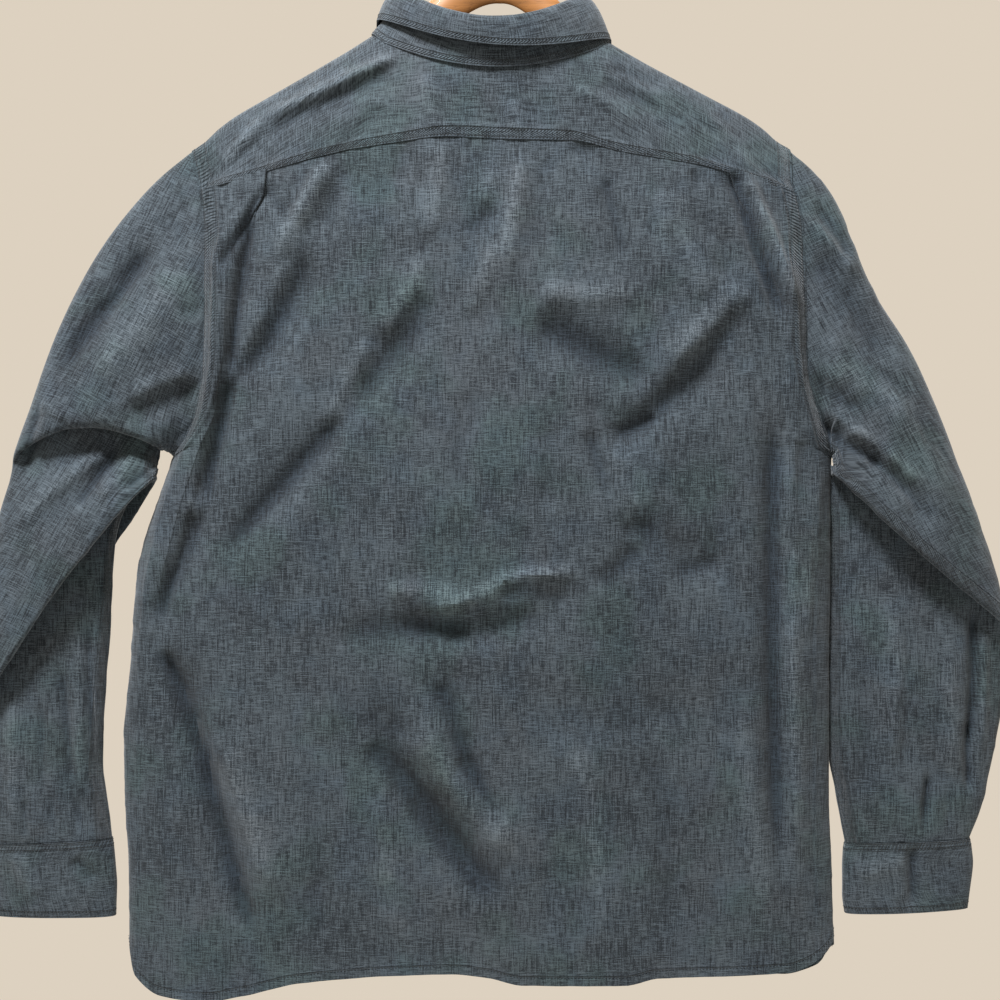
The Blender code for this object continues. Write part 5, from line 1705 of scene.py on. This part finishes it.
class SHIRT_OT_yoke(bpy.types.Operator):
    """Make the yoke over the shoulders"""

    bl_idname = "shirt.yoke"
    bl_label = "Yoke"
    bl_options = {"REGISTER", "UNDO"}

    def execute(self, context):
        cloth = context.scene.shirt_cloth
        points, looks, grain, worn = yoke_cloth()
        normals = sheet_normals(points)
        run = steps_along(points, 1)
        points = puckered(points, normals, run, from_edge(points, "bottom"), 0.5, 121)
        column = np.arange(points.shape[1])
        firm = ease((np.minimum(column, column[::-1]) - 8) / 16)[:, None]
        front = ((0.0, 0.3, -0.9), 1.6, 1.0, YOKE_BAND)
        points = laps(
            points, normals,
            ("bottom", looks, 0.5 + 1.4 * firm, 0.35 + 0.75 * firm, YOKE_BAND),
            ("left", *front), ("right", *front),
        )
        normals = sheet_normals(points)
        thick, side = cloth.thick / MM, YOKE_SIDE
        band = np.full(points.shape[1], YOKE_BAND)
        band[:side] = band[-side:] = FELL
        fell = np.minimum(from_edge(points, "bottom") / band, from_sides(points) / YOKE_BAND)
        piece = cloth_mesh(
            "shirt_yoke", points, thick, normals, grain=grain,
            fell=fell, hem=NO_HEM, run=run, worn=worn,
        )
        back, *sides = np.s_[:, side:-side], np.s_[:, :side], np.s_[:, -side:]
        for share in (NEAR_ROW, FAR_ROW):
            stitch_beside(points[back], normals[back], "bottom", share * YOKE_BAND, thick)
            for edge in ("left", "right"):
                stitch_beside(points, normals, edge, share * YOKE_BAND, thick, 0.1)
            for part in sides:
                stitch_beside(points[part], normals[part], "bottom", share * FELL, thick)
        tailored(piece, cloth, "yoke", 0.56, 0.19, 0.068, "hanger_bar")
        return {"FINISHED"}


class SHIRT_OT_fronts(bpy.types.Operator):
    """Make both fronts and the button strip"""

    bl_idname = "shirt.fronts"
    bl_label = "Fronts"
    bl_options = {"REGISTER", "UNDO"}

    def execute(self, context):
        cloth = context.scene.shirt_cloth
        thick = cloth.thick / MM
        for side, edge in (("left", "right"), ("right", "left")):
            points, down, worn = front_cloth(side)
            points, worn = facing_out(side, points), facing_out(side, worn)
            normals = sheet_normals(points)
            run = steps_along(points, 0)
            points = puckered(points, normals, run, from_edge(points, edge), 0.55, 131)
            hem = from_edge(points, "bottom")
            points = puckered(points, normals, points[..., 0], hem, 0.5, 135)
            points = laps(points, normals, (edge, edge_looks(side, down, 1), *FELL_LAP, FELL))
            normals = sheet_normals(points)
            hem = from_edge(points, "bottom")
            piece = cloth_mesh(
                f"shirt_front_{side}", points, hemmed(thick, hem), normals,
                grain=hanging_grain(points, -1), fell=from_edge(points, edge) / FELL,
                hem=hem, run=run, worn=worn,
            )
            for share in (NEAR_ROW, FAR_ROW):
                stitch_beside(points, normals, edge, share * FELL, thick)
            stitch_beside(points, normals, "bottom", HEM_STITCH, thick + HEM_THICKER)
            if side == "right":
                stitch_beside(points, normals, "right", 3.0, thick, 0.04)
            tailored(piece, cloth, f"front_{side}", 0.34, 0.78, 0.235)
        points = placket_cloth()
        normals = sheet_normals(points)
        piece = cloth_mesh(
            "button_strip", points, PLACKET_DEPTH, normals, grain=hanging_grain(points, -1),
            fell=from_sides(points) / 6.0, hem=NO_HEM, run=steps_along(points, 0),
        )
        for edge in ("left", "right"):
            stitch_beside(points, normals, edge, 5.1, PLACKET_DEPTH)
        tailored(piece, cloth, "front_placket", 0.034, 0.76, rests_on="shirt_front_left")
        return {"FINISHED"}


class SHIRT_OT_collar(bpy.types.Operator):
    """Make the collar's stand and leaf"""

    bl_idname = "shirt.collar"
    bl_label = "Collar"
    bl_options = {"REGISTER", "UNDO"}

    def execute(self, context):
        cloth = context.scene.shirt_cloth
        band_rows = (("bottom", 1.8), ("bottom", 5.4), ("top", 2.0))
        fall_rows = (("bottom", 5.0), ("left", 5.0), ("right", 5.0))
        for name, points, node, cut, rows in (
            ("collar_band", stand_sheet(161, 15), "collar_stand", (0.48, 0.045), band_rows),
            ("collar_fall", leaf_sheet(161, 27), "collar_leaf", (0.47, 0.062), fall_rows),
        ):
            normals = sheet_normals(points)
            bottom, ends = from_edge(points, "bottom"), from_sides(points)
            run = steps_along(points, 1)
            points = puckered(points, normals, run, bottom, 0.25, 141)
            soft = 0.35 * crumple(run, bottom, 145) * ease(bottom / 6)
            points = points + normals * soft[..., None]
            normals = sheet_normals(points)
            fell = np.minimum(bottom, ends) / 5.8 if name == "collar_fall" else bottom / 6.3
            grain = np.stack(np.broadcast_arrays(steps_along(points, 0), run[len(run) // 2]), -1)
            piece = cloth_mesh(
                name, points, COLLAR_THICK, normals, grain=grain, fell=fell, hem=NO_HEM, run=run,
            )
            for edge, away in rows:
                inset = 0.03 if edge == "bottom" else 0.0
                stitch_beside(points, normals, edge, away, COLLAR_THICK, inset, 1 - inset)
            tailored(piece, cloth, node, *cut)
        return {"FINISHED"}


def sleeve_strip(cloth, side):
    """The strip over the slit above a cuff, on the sleeve's front layer."""
    rows = LEFT_SLEEVE if side == "left" else RIGHT_SLEEVE
    long, width = SLEEVE_PLACKET
    forearm = {name: column[-FOREARM_ROWS:] for name, column in rows.items()}
    level = forearm["inner_drop"]
    down = np.linspace(level[-1] - long, level[-1] - 1.0, 31)
    cut = {name: np.interp(down, level, column) for name, column in forearm.items()}
    flat = abs(rows["outer_x"][-1] - rows["inner_x"][-1])
    half_turn = math.asin(width / flat) / TURN
    turns = np.linspace(SLEEVE_PLACKET_TURN - half_turn, SLEEVE_PLACKET_TURN + half_turn, 11)
    points = rings(cut, turns)
    points = points if side == "left" else points[:, ::-1]
    points = points + sheet_normals(points) * (SLEEVE_STRIP_THICK + STRIP_CLEAR)
    normals = sheet_normals(points)
    piece = cloth_mesh(
        f"sleeve_strip_{side}", points, SLEEVE_STRIP_THICK, normals,
        fell=from_sides(points) / 3.2, hem=NO_HEM, run=steps_along(points, 0),
    )
    for edge in ("left", "right", "top"):
        stitch_beside(points, normals, edge, 2.6, SLEEVE_STRIP_THICK)
    tailored(
        piece, cloth, f"sleeve_placket_{side}", 0.024, 0.118, 0.0027, f"shirt_sleeve_{side}",
    )


class SHIRT_OT_sleeves(bpy.types.Operator):
    """Make both sleeves and the strips over their slits"""

    bl_idname = "shirt.sleeves"
    bl_label = "Sleeves"
    bl_options = {"REGISTER", "UNDO"}

    def execute(self, context):
        cloth = context.scene.shirt_cloth
        thick, half = cloth.thick / MM, SLEEVE_AROUND // 2
        for side, inner in (("left", 1), ("right", -1)):
            points, worn = sleeve_cloth(side)
            normals = sheet_normals(points, True)
            run, around = steps_along(points, 0), steps_along(points, 1)
            elbow = ELBOW[side] * SLEEVE_STEPS
            away = (around[:, [half]] - around) * inner
            points = puckered(points, normals, run, np.abs(away - 7), 0.5, 151)
            points = puckered(points, normals, around, run, 0.8, 155)
            normals = sheet_normals(points, True)
            fell = np.where(away >= 0, away / FELL - UNDERARM_START, 9.0)
            raised = ease((FELL + 2 - away) / 2) * ease((away + 1) / 2) * 0.5
            if side == "right":
                # The underarm seam has turned to the back along the lower edge of the upper sleeve.
                above = run[elbow] - run
                at_edge = (above >= 0) & (away >= 0)
                fell = np.where(at_edge, np.minimum(fell, above / FELL - EDGE_START), fell)
                raised = np.maximum(raised, 0.7 * ease((FELL + 3 - above) / 2) * at_edge)
            points = points + normals * raised[..., None]
            normals = sheet_normals(points, True)
            piece = cloth_mesh(
                f"shirt_sleeve_{side}", points, thick, normals, True,
                sleeve_grain(points, elbow, inner), fell=fell, hem=NO_HEM, run=run, worn=worn,
            )
            for share in (NEAR_ROW, FAR_ROW):
                at = np.full(len(points) - elbow, (share + UNDERARM_START) * FELL)
                stitch_across(at, away[elbow:], points[elbow:], normals[elbow:], thick)
                if side == "right":
                    back = np.s_[:elbow + 1, half + 12:SLEEVE_AROUND - 3]
                    at = (share + EDGE_START) * FELL
                    stitch_beside(points[back], normals[back], "bottom", at, thick)
            tailored(piece, cloth, f"sleeve_{side}", 0.50, 0.62, 0.20)
            sleeve_strip(cloth, side)
        return {"FINISHED"}


class SHIRT_OT_cuffs(bpy.types.Operator):
    """Make both cuffs"""

    bl_idname = "shirt.cuffs"
    bl_label = "Cuffs"
    bl_options = {"REGISTER", "UNDO"}

    def execute(self, context):
        cloth = context.scene.shirt_cloth
        for side in ("left", "right"):
            points = cuff_sheet(side, 12, 133)
            normals = sheet_normals(points)
            top, bottom = from_edge(points, "top"), from_edge(points, "bottom")
            run = steps_along(points, 1)
            behind = ease(-1.6 * normals[..., 1]) * ease(top / 14)
            soft = crumple(run / 1.4, top, 161) * ease(top / 8) * 0.9
            soft = soft + 1.2 * creased(points[..., 0], drops(points), CUFF_CREASES) * behind
            points = points + normals * (soft + 0.4 * puckers(run, top, 163))[..., None]
            normals = sheet_normals(points)
            fell = np.minimum(np.minimum(bottom, from_sides(points)), top) / 6.2
            piece = cloth_mesh(
                f"shirt_cuff_{side}", points, CUFF_THICK, normals,
                fell=fell, hem=NO_HEM, run=run, worn=soft,
            )
            for edge, away in (
                ("top", 1.6), ("top", 5.3), ("bottom", 5.3), ("left", 5.3), ("right", 5.3),
            ):
                stitch_beside(points, normals, edge, away, CUFF_THICK)
            tailored(piece, cloth, f"cuff_{side}", 0.235, 0.068, None, f"shirt_sleeve_{side}")
        return {"FINISHED"}


def stitches_tree(values):
    """Nodes that lay a short thread along each line of sewing, and their inputs' identifiers."""
    tree = bpy.data.node_groups.new("stitches", "GeometryNodeTree")
    face, inputs = tree.interface, {}
    face.new_socket("Geometry", in_out="INPUT", socket_type="NodeSocketGeometry")
    for label, kind in (
        ("Pitch", "Float"), ("Length", "Float"), ("Thread", "Float"), ("Seed", "Int"),
        ("Material", "Material"),
    ):
        socket = face.new_socket(label, in_out="INPUT", socket_type="NodeSocket" + kind)
        if kind != "Material":
            socket.default_value = values[label]
        inputs[label] = socket.identifier
    face.new_socket("Geometry", in_out="OUTPUT", socket_type="NodeSocketGeometry")
    source, result, curve, along, ball, size, long, uneven, threads, real, soft, coat = (
        tree.nodes.new(kind) for kind in (
            "NodeGroupInput", "NodeGroupOutput", "GeometryNodeMeshToCurve",
            "GeometryNodeCurveToPoints", "GeometryNodeMeshIcoSphere", "ShaderNodeCombineXYZ",
            "ShaderNodeMath", "FunctionNodeRandomValue", "GeometryNodeInstanceOnPoints",
            "GeometryNodeRealizeInstances", "GeometryNodeSetShadeSmooth", "GeometryNodeSetMaterial",
        )
    )
    along.mode, long.operation, uneven.data_type = "LENGTH", "MULTIPLY", "FLOAT"
    ball.inputs["Radius"].default_value, ball.inputs["Subdivisions"].default_value = 0.5, 1
    shortest, longest = [s for s in uneven.inputs if s.type == "VALUE"][:2]
    shortest.default_value, longest.default_value = 0.86, 1.12
    for one, two in (
        (source.outputs["Geometry"], curve.inputs["Mesh"]),
        (curve.outputs["Curve"], along.inputs["Curve"]),
        (source.outputs["Pitch"], along.inputs["Length"]),
        (along.outputs["Points"], threads.inputs["Points"]),
        (along.outputs["Rotation"], threads.inputs["Rotation"]),
        (ball.outputs["Mesh"], threads.inputs["Instance"]),
        (source.outputs["Thread"], size.inputs["X"]),
        (source.outputs["Thread"], size.inputs["Y"]),
        (source.outputs["Length"], long.inputs[0]),
        (next(s for s in uneven.outputs if s.enabled), long.inputs[1]),
        (source.outputs["Seed"], uneven.inputs["Seed"]),
        (long.outputs[0], size.inputs["Z"]),
        (size.outputs[0], threads.inputs["Scale"]),
        (threads.outputs[0], real.inputs[0]),
        (real.outputs[0], soft.inputs[0]),
        (soft.outputs[0], coat.inputs["Geometry"]),
        (source.outputs["Material"], coat.inputs["Material"]),
        (coat.outputs[0], result.inputs[0]),
    ):
        tree.links.new(one, two)
    return tree, inputs


def sewn(name, rows, material, **values):
    """A plain mesh of the threads along rows of sewing."""
    mesh = bpy.data.meshes.new(name)
    points, edges = [], []
    for row in rows:
        edges += [(len(points) + i, len(points) + i + 1) for i in range(len(row) - 1)]
        points += (np.asarray(row) * MM).tolist()
    mesh.from_pydata(points, edges, [])
    piece = new_object(name, mesh)
    modifier = piece.modifiers.new("Stitches", "NODES")
    modifier.node_group, inputs = stitches_tree(values)
    for label, value in values.items():
        modifier[inputs[label]] = value
    modifier[inputs["Material"]] = material
    bpy.context.view_layer.update()
    evaluated = piece.evaluated_get(bpy.context.evaluated_depsgraph_get())
    plain = bpy.data.meshes.new_from_object(evaluated)
    piece.modifiers.clear()
    piece.data = plain
    plain.name = name
    return piece


class SHIRT_OT_stitches(bpy.types.Operator):
    """Sew along every seam, hem and edge"""

    bl_idname = "shirt.stitches"
    bl_label = "Stitches"
    bl_options = {"REGISTER", "UNDO"}

    def execute(self, context):
        scene = context.scene
        if not STITCH_ROWS:
            raise RuntimeError("The stitches need the pieces of cloth first")
        made, coat = scene.shirt_stitches, thread(scene.shirt_cloth)
        piece = sewn(
            "stitches", STITCH_ROWS, coat,
            Pitch=made.pitch, Length=made.long, Thread=made.thread, Seed=made.seed,
        )
        finish(piece, coat, "chambray")
        return {"FINISHED"}


# A button's shares of radius and heights, its thread's two lines, and the slit sewn round under it.
BUTTON_PROFILE = (
    (0.80, 0.0), (0.93, 0.25), (1.0, 0.75), (1.0, 1.25), (0.95, 1.85), (0.86, 2.1),
    (0.76, 1.95), (0.66, 1.55), (0.40, 1.35), (0.15, 1.3),
)
HOLES_APART = 1.1
THREAD_LEVEL = 1.72
THREAD_REACH = 1.35
SLIT = (1.2, 8.0)
SLIT_UNDER = 0.2


def button_places():
    """Centre, facing and the way that the slit runs for each button, as on the plain solids."""
    strip = placket_cloth()
    middle, looks = strip[:, 7], sheet_normals(strip)[:, 7]
    places = []
    for number in range(FRONT_BUTTONS):
        drop = mix(FIRST_BUTTON, LAST_BUTTON, number / (FRONT_BUTTONS - 1))
        row = int(np.argmin(np.abs(drops(middle) - drop)))
        out = PLACKET_DEPTH / 2 + LAP_GAP
        depth = np.interp(drop, drops(middle), middle[:, 1]) + out
        places.append((place(0.0, depth, drop), looks[row], (0, 0, 1.0)))
    stand = stand_sheet(31, 4)
    at, facing = (stand[2, 1] + stand[1, 1]) / 2, sheet_normals(stand)[1, 1]
    places.append((at + facing * (STAND_SOLID / 2 + LAP_GAP), facing, (1.0, 0, 0)))
    for side in ("left", "right"):
        cuff = cuff_sheet(side, 3, 23)
        column = -3 if side == "left" else 2
        at = (cuff[1, column] + cuff[2, column]) / 2
        facing = sheet_normals(cuff)[1, column]
        places.append((at + facing * (CUFF_SOLID / 2 + LAP_GAP), facing, (1.0, 0, 0)))
    return places


class SHIRT_OT_buttons(bpy.types.Operator):
    """Make the buttons, their holes in the cloth and their thread"""

    bl_idname = "shirt.buttons"
    bl_label = "Buttons"
    bl_options = {"REGISTER", "UNDO"}

    def execute(self, context):
        scene = context.scene
        radius = scene.shirt_buttons.across / MM / 2
        solids, threads, slits = [], [], []
        for centre, facing, up in button_places():
            facing = unit(np.asarray(facing, float))
            across = unit(np.cross(up, facing))
            down = np.cross(facing, across)
            rims = [(radius * share, height) for share, height in BUTTON_PROFILE]
            solids.append(solid_of_rings(turned(centre, facing, rims, 32)))
            for side in (-HOLES_APART, HOLES_APART):
                one = centre + facing * THREAD_LEVEL + across * side + down * THREAD_REACH
                two = centre + facing * THREAD_LEVEL + across * side - down * THREAD_REACH
                t = np.linspace(0, 1, 7)[:, None]
                threads.append(mix(one, two, t) + facing * 0.25 * np.sin(math.pi * t))
            turn = np.linspace(0, TURN, 41)[:, None]
            wide, long = SLIT[0] * np.cos(turn) * across, SLIT[1] * np.sin(turn) * down
            loop = centre - SLIT_UNDER * facing + wide + long
            slits.append(loop)
        buttons = joined("buttons", solids)
        names = [f"button_front_{n + 1}" for n in range(FRONT_BUTTONS)]
        names += ["button_stand", "button_cuff_left", "button_cuff_right"]
        finish(buttons, shell_button(scene.shirt_buttons), "button_shell", *names)
        coat = thread(scene.shirt_cloth)
        piece = sewn(
            "buttonholes", slits + threads, coat, Pitch=0.00042, Length=0.0010, Thread=0.0007, Seed=5,
        )
        finish(piece, coat, "chambray")
        return {"FINISHED"}


class SHIRT_OT_hanger(bpy.types.Operator):
    """Make the wooden hanger and its wire hook"""

    bl_idname = "shirt.hanger"
    bl_label = "Hanger"
    bl_options = {"REGISTER", "UNDO"}

    def execute(self, context):
        scene = context.scene
        low, high = HANGER_SPAN
        share = np.linspace(-1, 1, 141)
        x = np.where(share < 0, -low * share, high * share)
        yoke = yoke_cloth()[0]
        ridge = np.concatenate([yoke[::-1, YOKE_SIDE // 2], yoke[:, -YOKE_SIDE // 2 - 1]])
        under = np.interp(x, ridge[:, 0], drops(ridge)) + BODY_SOLID / 2 + HANGER_CLEAR
        side_neck = NECK_HALF_WIDTH + NECK_CENTRE * np.sign(x) + HANGER_SHOULDER
        top = mix(-HANGER_CROWN, under, ease(np.abs(x) / side_neck))
        plain = mix(*HANGER_ARM_DEPTH, np.abs(share))
        arch = HANGER_CROWN - HANGER_ARCH - HANGER_ARM_DEPTH[0]
        deep = plain + arch * np.exp(-((x / HANGER_ARCH_WIDTH) ** 2))
        tip = ease((1 - np.abs(share)) / HANGER_TIP)
        deep = deep * mix(HANGER_TIP_DEPTH, 1.0, tip)
        half = mix(*HANGER_HALF_THICK, np.abs(share)) * mix(HANGER_TIP_THICK, 1.0, tip)
        turn = TURN * np.arange(32) / 32
        y, z = np.sign(np.cos(turn)) * np.abs(np.cos(turn)) ** HANGER_ROUND, np.sin(turn)
        drop = (top + deep / 2)[:, None] - z * deep[:, None] / 2
        bar = joined("hanger_bar", [solid_of_rings(place(x[:, None], y * half[:, None], drop))])
        finish(bar, hanger_wood(scene.shirt_hanger), "hanger_wood", "hanger_wood")

        bend = HOOK_INSIDE + HOOK_WIRE
        centre = HOOK_WIRE - bend
        turn = np.radians(np.linspace(*HOOK_SWEEP, 73))
        circle = np.stack([bend * np.cos(turn), centre + bend * np.sin(turn)], axis=-1)
        away = np.array([-math.sin(turn[-1]), math.cos(turn[-1])])
        start, end = circle[-1], np.array([0.0, HOOK_SHANK])
        t = np.linspace(0, 1, 25)[1:, None]
        one, two = start + away * HOOK_PULL, end + np.array([0.0, HOOK_PULL])
        bent = (1 - t) ** 3 * start + 3 * t * (1 - t) ** 2 * one
        bent = bent + 3 * t**2 * (1 - t) * two + t**3 * end
        path = np.concatenate([circle, bent, [[0.0, NECK_LEVEL + HANGER_CROWN - 0.2]]])
        path = np.stack([path[:, 0], 0 * path[:, 0], path[:, 1]], axis=-1)
        forward = tangents(path, 0)
        forward[-1] = (0, 0, -1)
        side = np.cross((0.0, 1.0, 0.0), forward)
        turn = TURN * np.arange(24)[None, :, None] / 24
        round_wire = np.cos(turn) * side[:, None] + np.sin(turn) * np.array((0, 1.0, 0))
        hook = joined("hanger_wire", [solid_of_rings(path[:, None] + HOOK_WIRE * round_wire)])
        finish(hook, hook_steel(), "hook_steel", "hanger_hook")
        return {"FINISHED"}


# The soft lights: place, the point they look at, size in metres and share of the full power.
LIGHTS = (
    ("key_light", (-0.52, -1.05, 1.20), (0.0, 0.0, -0.55), 0.45, 1.0),
    ("top_light", (-0.5, 0.9, 1.0), (0.0, 0.0, -0.4), 1.0, 0.25),
)
LIGHT_COLOUR = (1.0, 0.965, 0.92)
CAMERA_AT = (0.0, -1.25, -0.570)
CAMERA_LENS, CAMERA_SENSOR = 51.7, 36.0


class SHIRT_OT_stage(bpy.types.Operator):
    """Set out the floor, the soft light and the camera"""

    bl_idname = "shirt.stage"
    bl_label = "Stage"
    bl_options = {"REGISTER", "UNDO"}

    def execute(self, context):
        scene = context.scene
        made = scene.shirt_stage
        mesh = bpy.data.meshes.new("floor")
        corners = [(x, y, FLOOR_LEVEL) for x, y in ((-1, -1), (1, -1), (1, 1), (-1, 1))]
        mesh.from_pydata(corners, [], [(0, 1, 2, 3)])
        floor = new_object("floor", mesh)
        floor.data.materials.append(floor_paint(made))
        for name, at, aim, size, share in LIGHTS:
            light = bpy.data.lights.new(name, "AREA")
            light.size, light.energy, light.color = size, share * made.light, LIGHT_COLOUR
            lamp = new_object(name, light)
            lamp.location = at
            aimed = np.array(aim) - np.array(at)
            lamp.rotation_euler = mathutils.Vector(aimed).to_track_quat("-Z", "Y").to_euler()
        world = scene.world or bpy.data.worlds.new("surroundings")
        scene.world = world
        world.use_nodes = True
        air = world.node_tree.nodes["Background"]
        air.inputs["Color"].default_value = (*made.air, 1.0)
        air.inputs["Strength"].default_value = 1.0
        scene.view_settings.view_transform = "Standard"
        camera = bpy.data.cameras.new("camera")
        camera.lens, camera.sensor_width = CAMERA_LENS, CAMERA_SENSOR
        view = new_object("camera", camera)
        view.location, view.rotation_euler = CAMERA_AT, (math.radians(90), 0.0, 0.0)
        scene.camera = view
        return {"FINISHED"}


OPERATORS = (
    SHIRT_OT_back, SHIRT_OT_yoke, SHIRT_OT_fronts, SHIRT_OT_collar, SHIRT_OT_sleeves, SHIRT_OT_cuffs,
    SHIRT_OT_stitches, SHIRT_OT_buttons, SHIRT_OT_hanger, SHIRT_OT_stage,
)
SETTINGS = {
    "shirt_cloth": ClothSettings, "shirt_stitches": StitchSettings, "shirt_buttons": ButtonSettings,
    "shirt_hanger": HangerSettings, "shirt_stage": StageSettings,
}


class SHIRT_PT_pieces(bpy.types.Panel):
    bl_label = "Shirt on a hanger"
    bl_idname = "SHIRT_PT_pieces"
    bl_space_type = "VIEW_3D"
    bl_region_type = "UI"
    bl_category = "Shirt"

    def draw(self, context):
        for name, group in SETTINGS.items():
            box = self.layout.box()
            for prop in group.__annotations__:
                box.prop(getattr(context.scene, name), prop)
        for operator in OPERATORS:
            self.layout.operator(operator.bl_idname)


def register():
    for made in (*SETTINGS.values(), *OPERATORS, SHIRT_PT_pieces):
        bpy.utils.register_class(made)
    for name, group in SETTINGS.items():
        setattr(bpy.types.Scene, name, PointerProperty(type=group))


def unregister():
    for name in SETTINGS:
        delattr(bpy.types.Scene, name)
    for made in reversed((*SETTINGS.values(), *OPERATORS, SHIRT_PT_pieces)):
        bpy.utils.unregister_class(made)


def main():
    register()
    for operator in OPERATORS:
        group, name = operator.bl_idname.split(".")
        getattr(getattr(bpy.ops, group), name)()


if __name__ == "__main__":
    main()
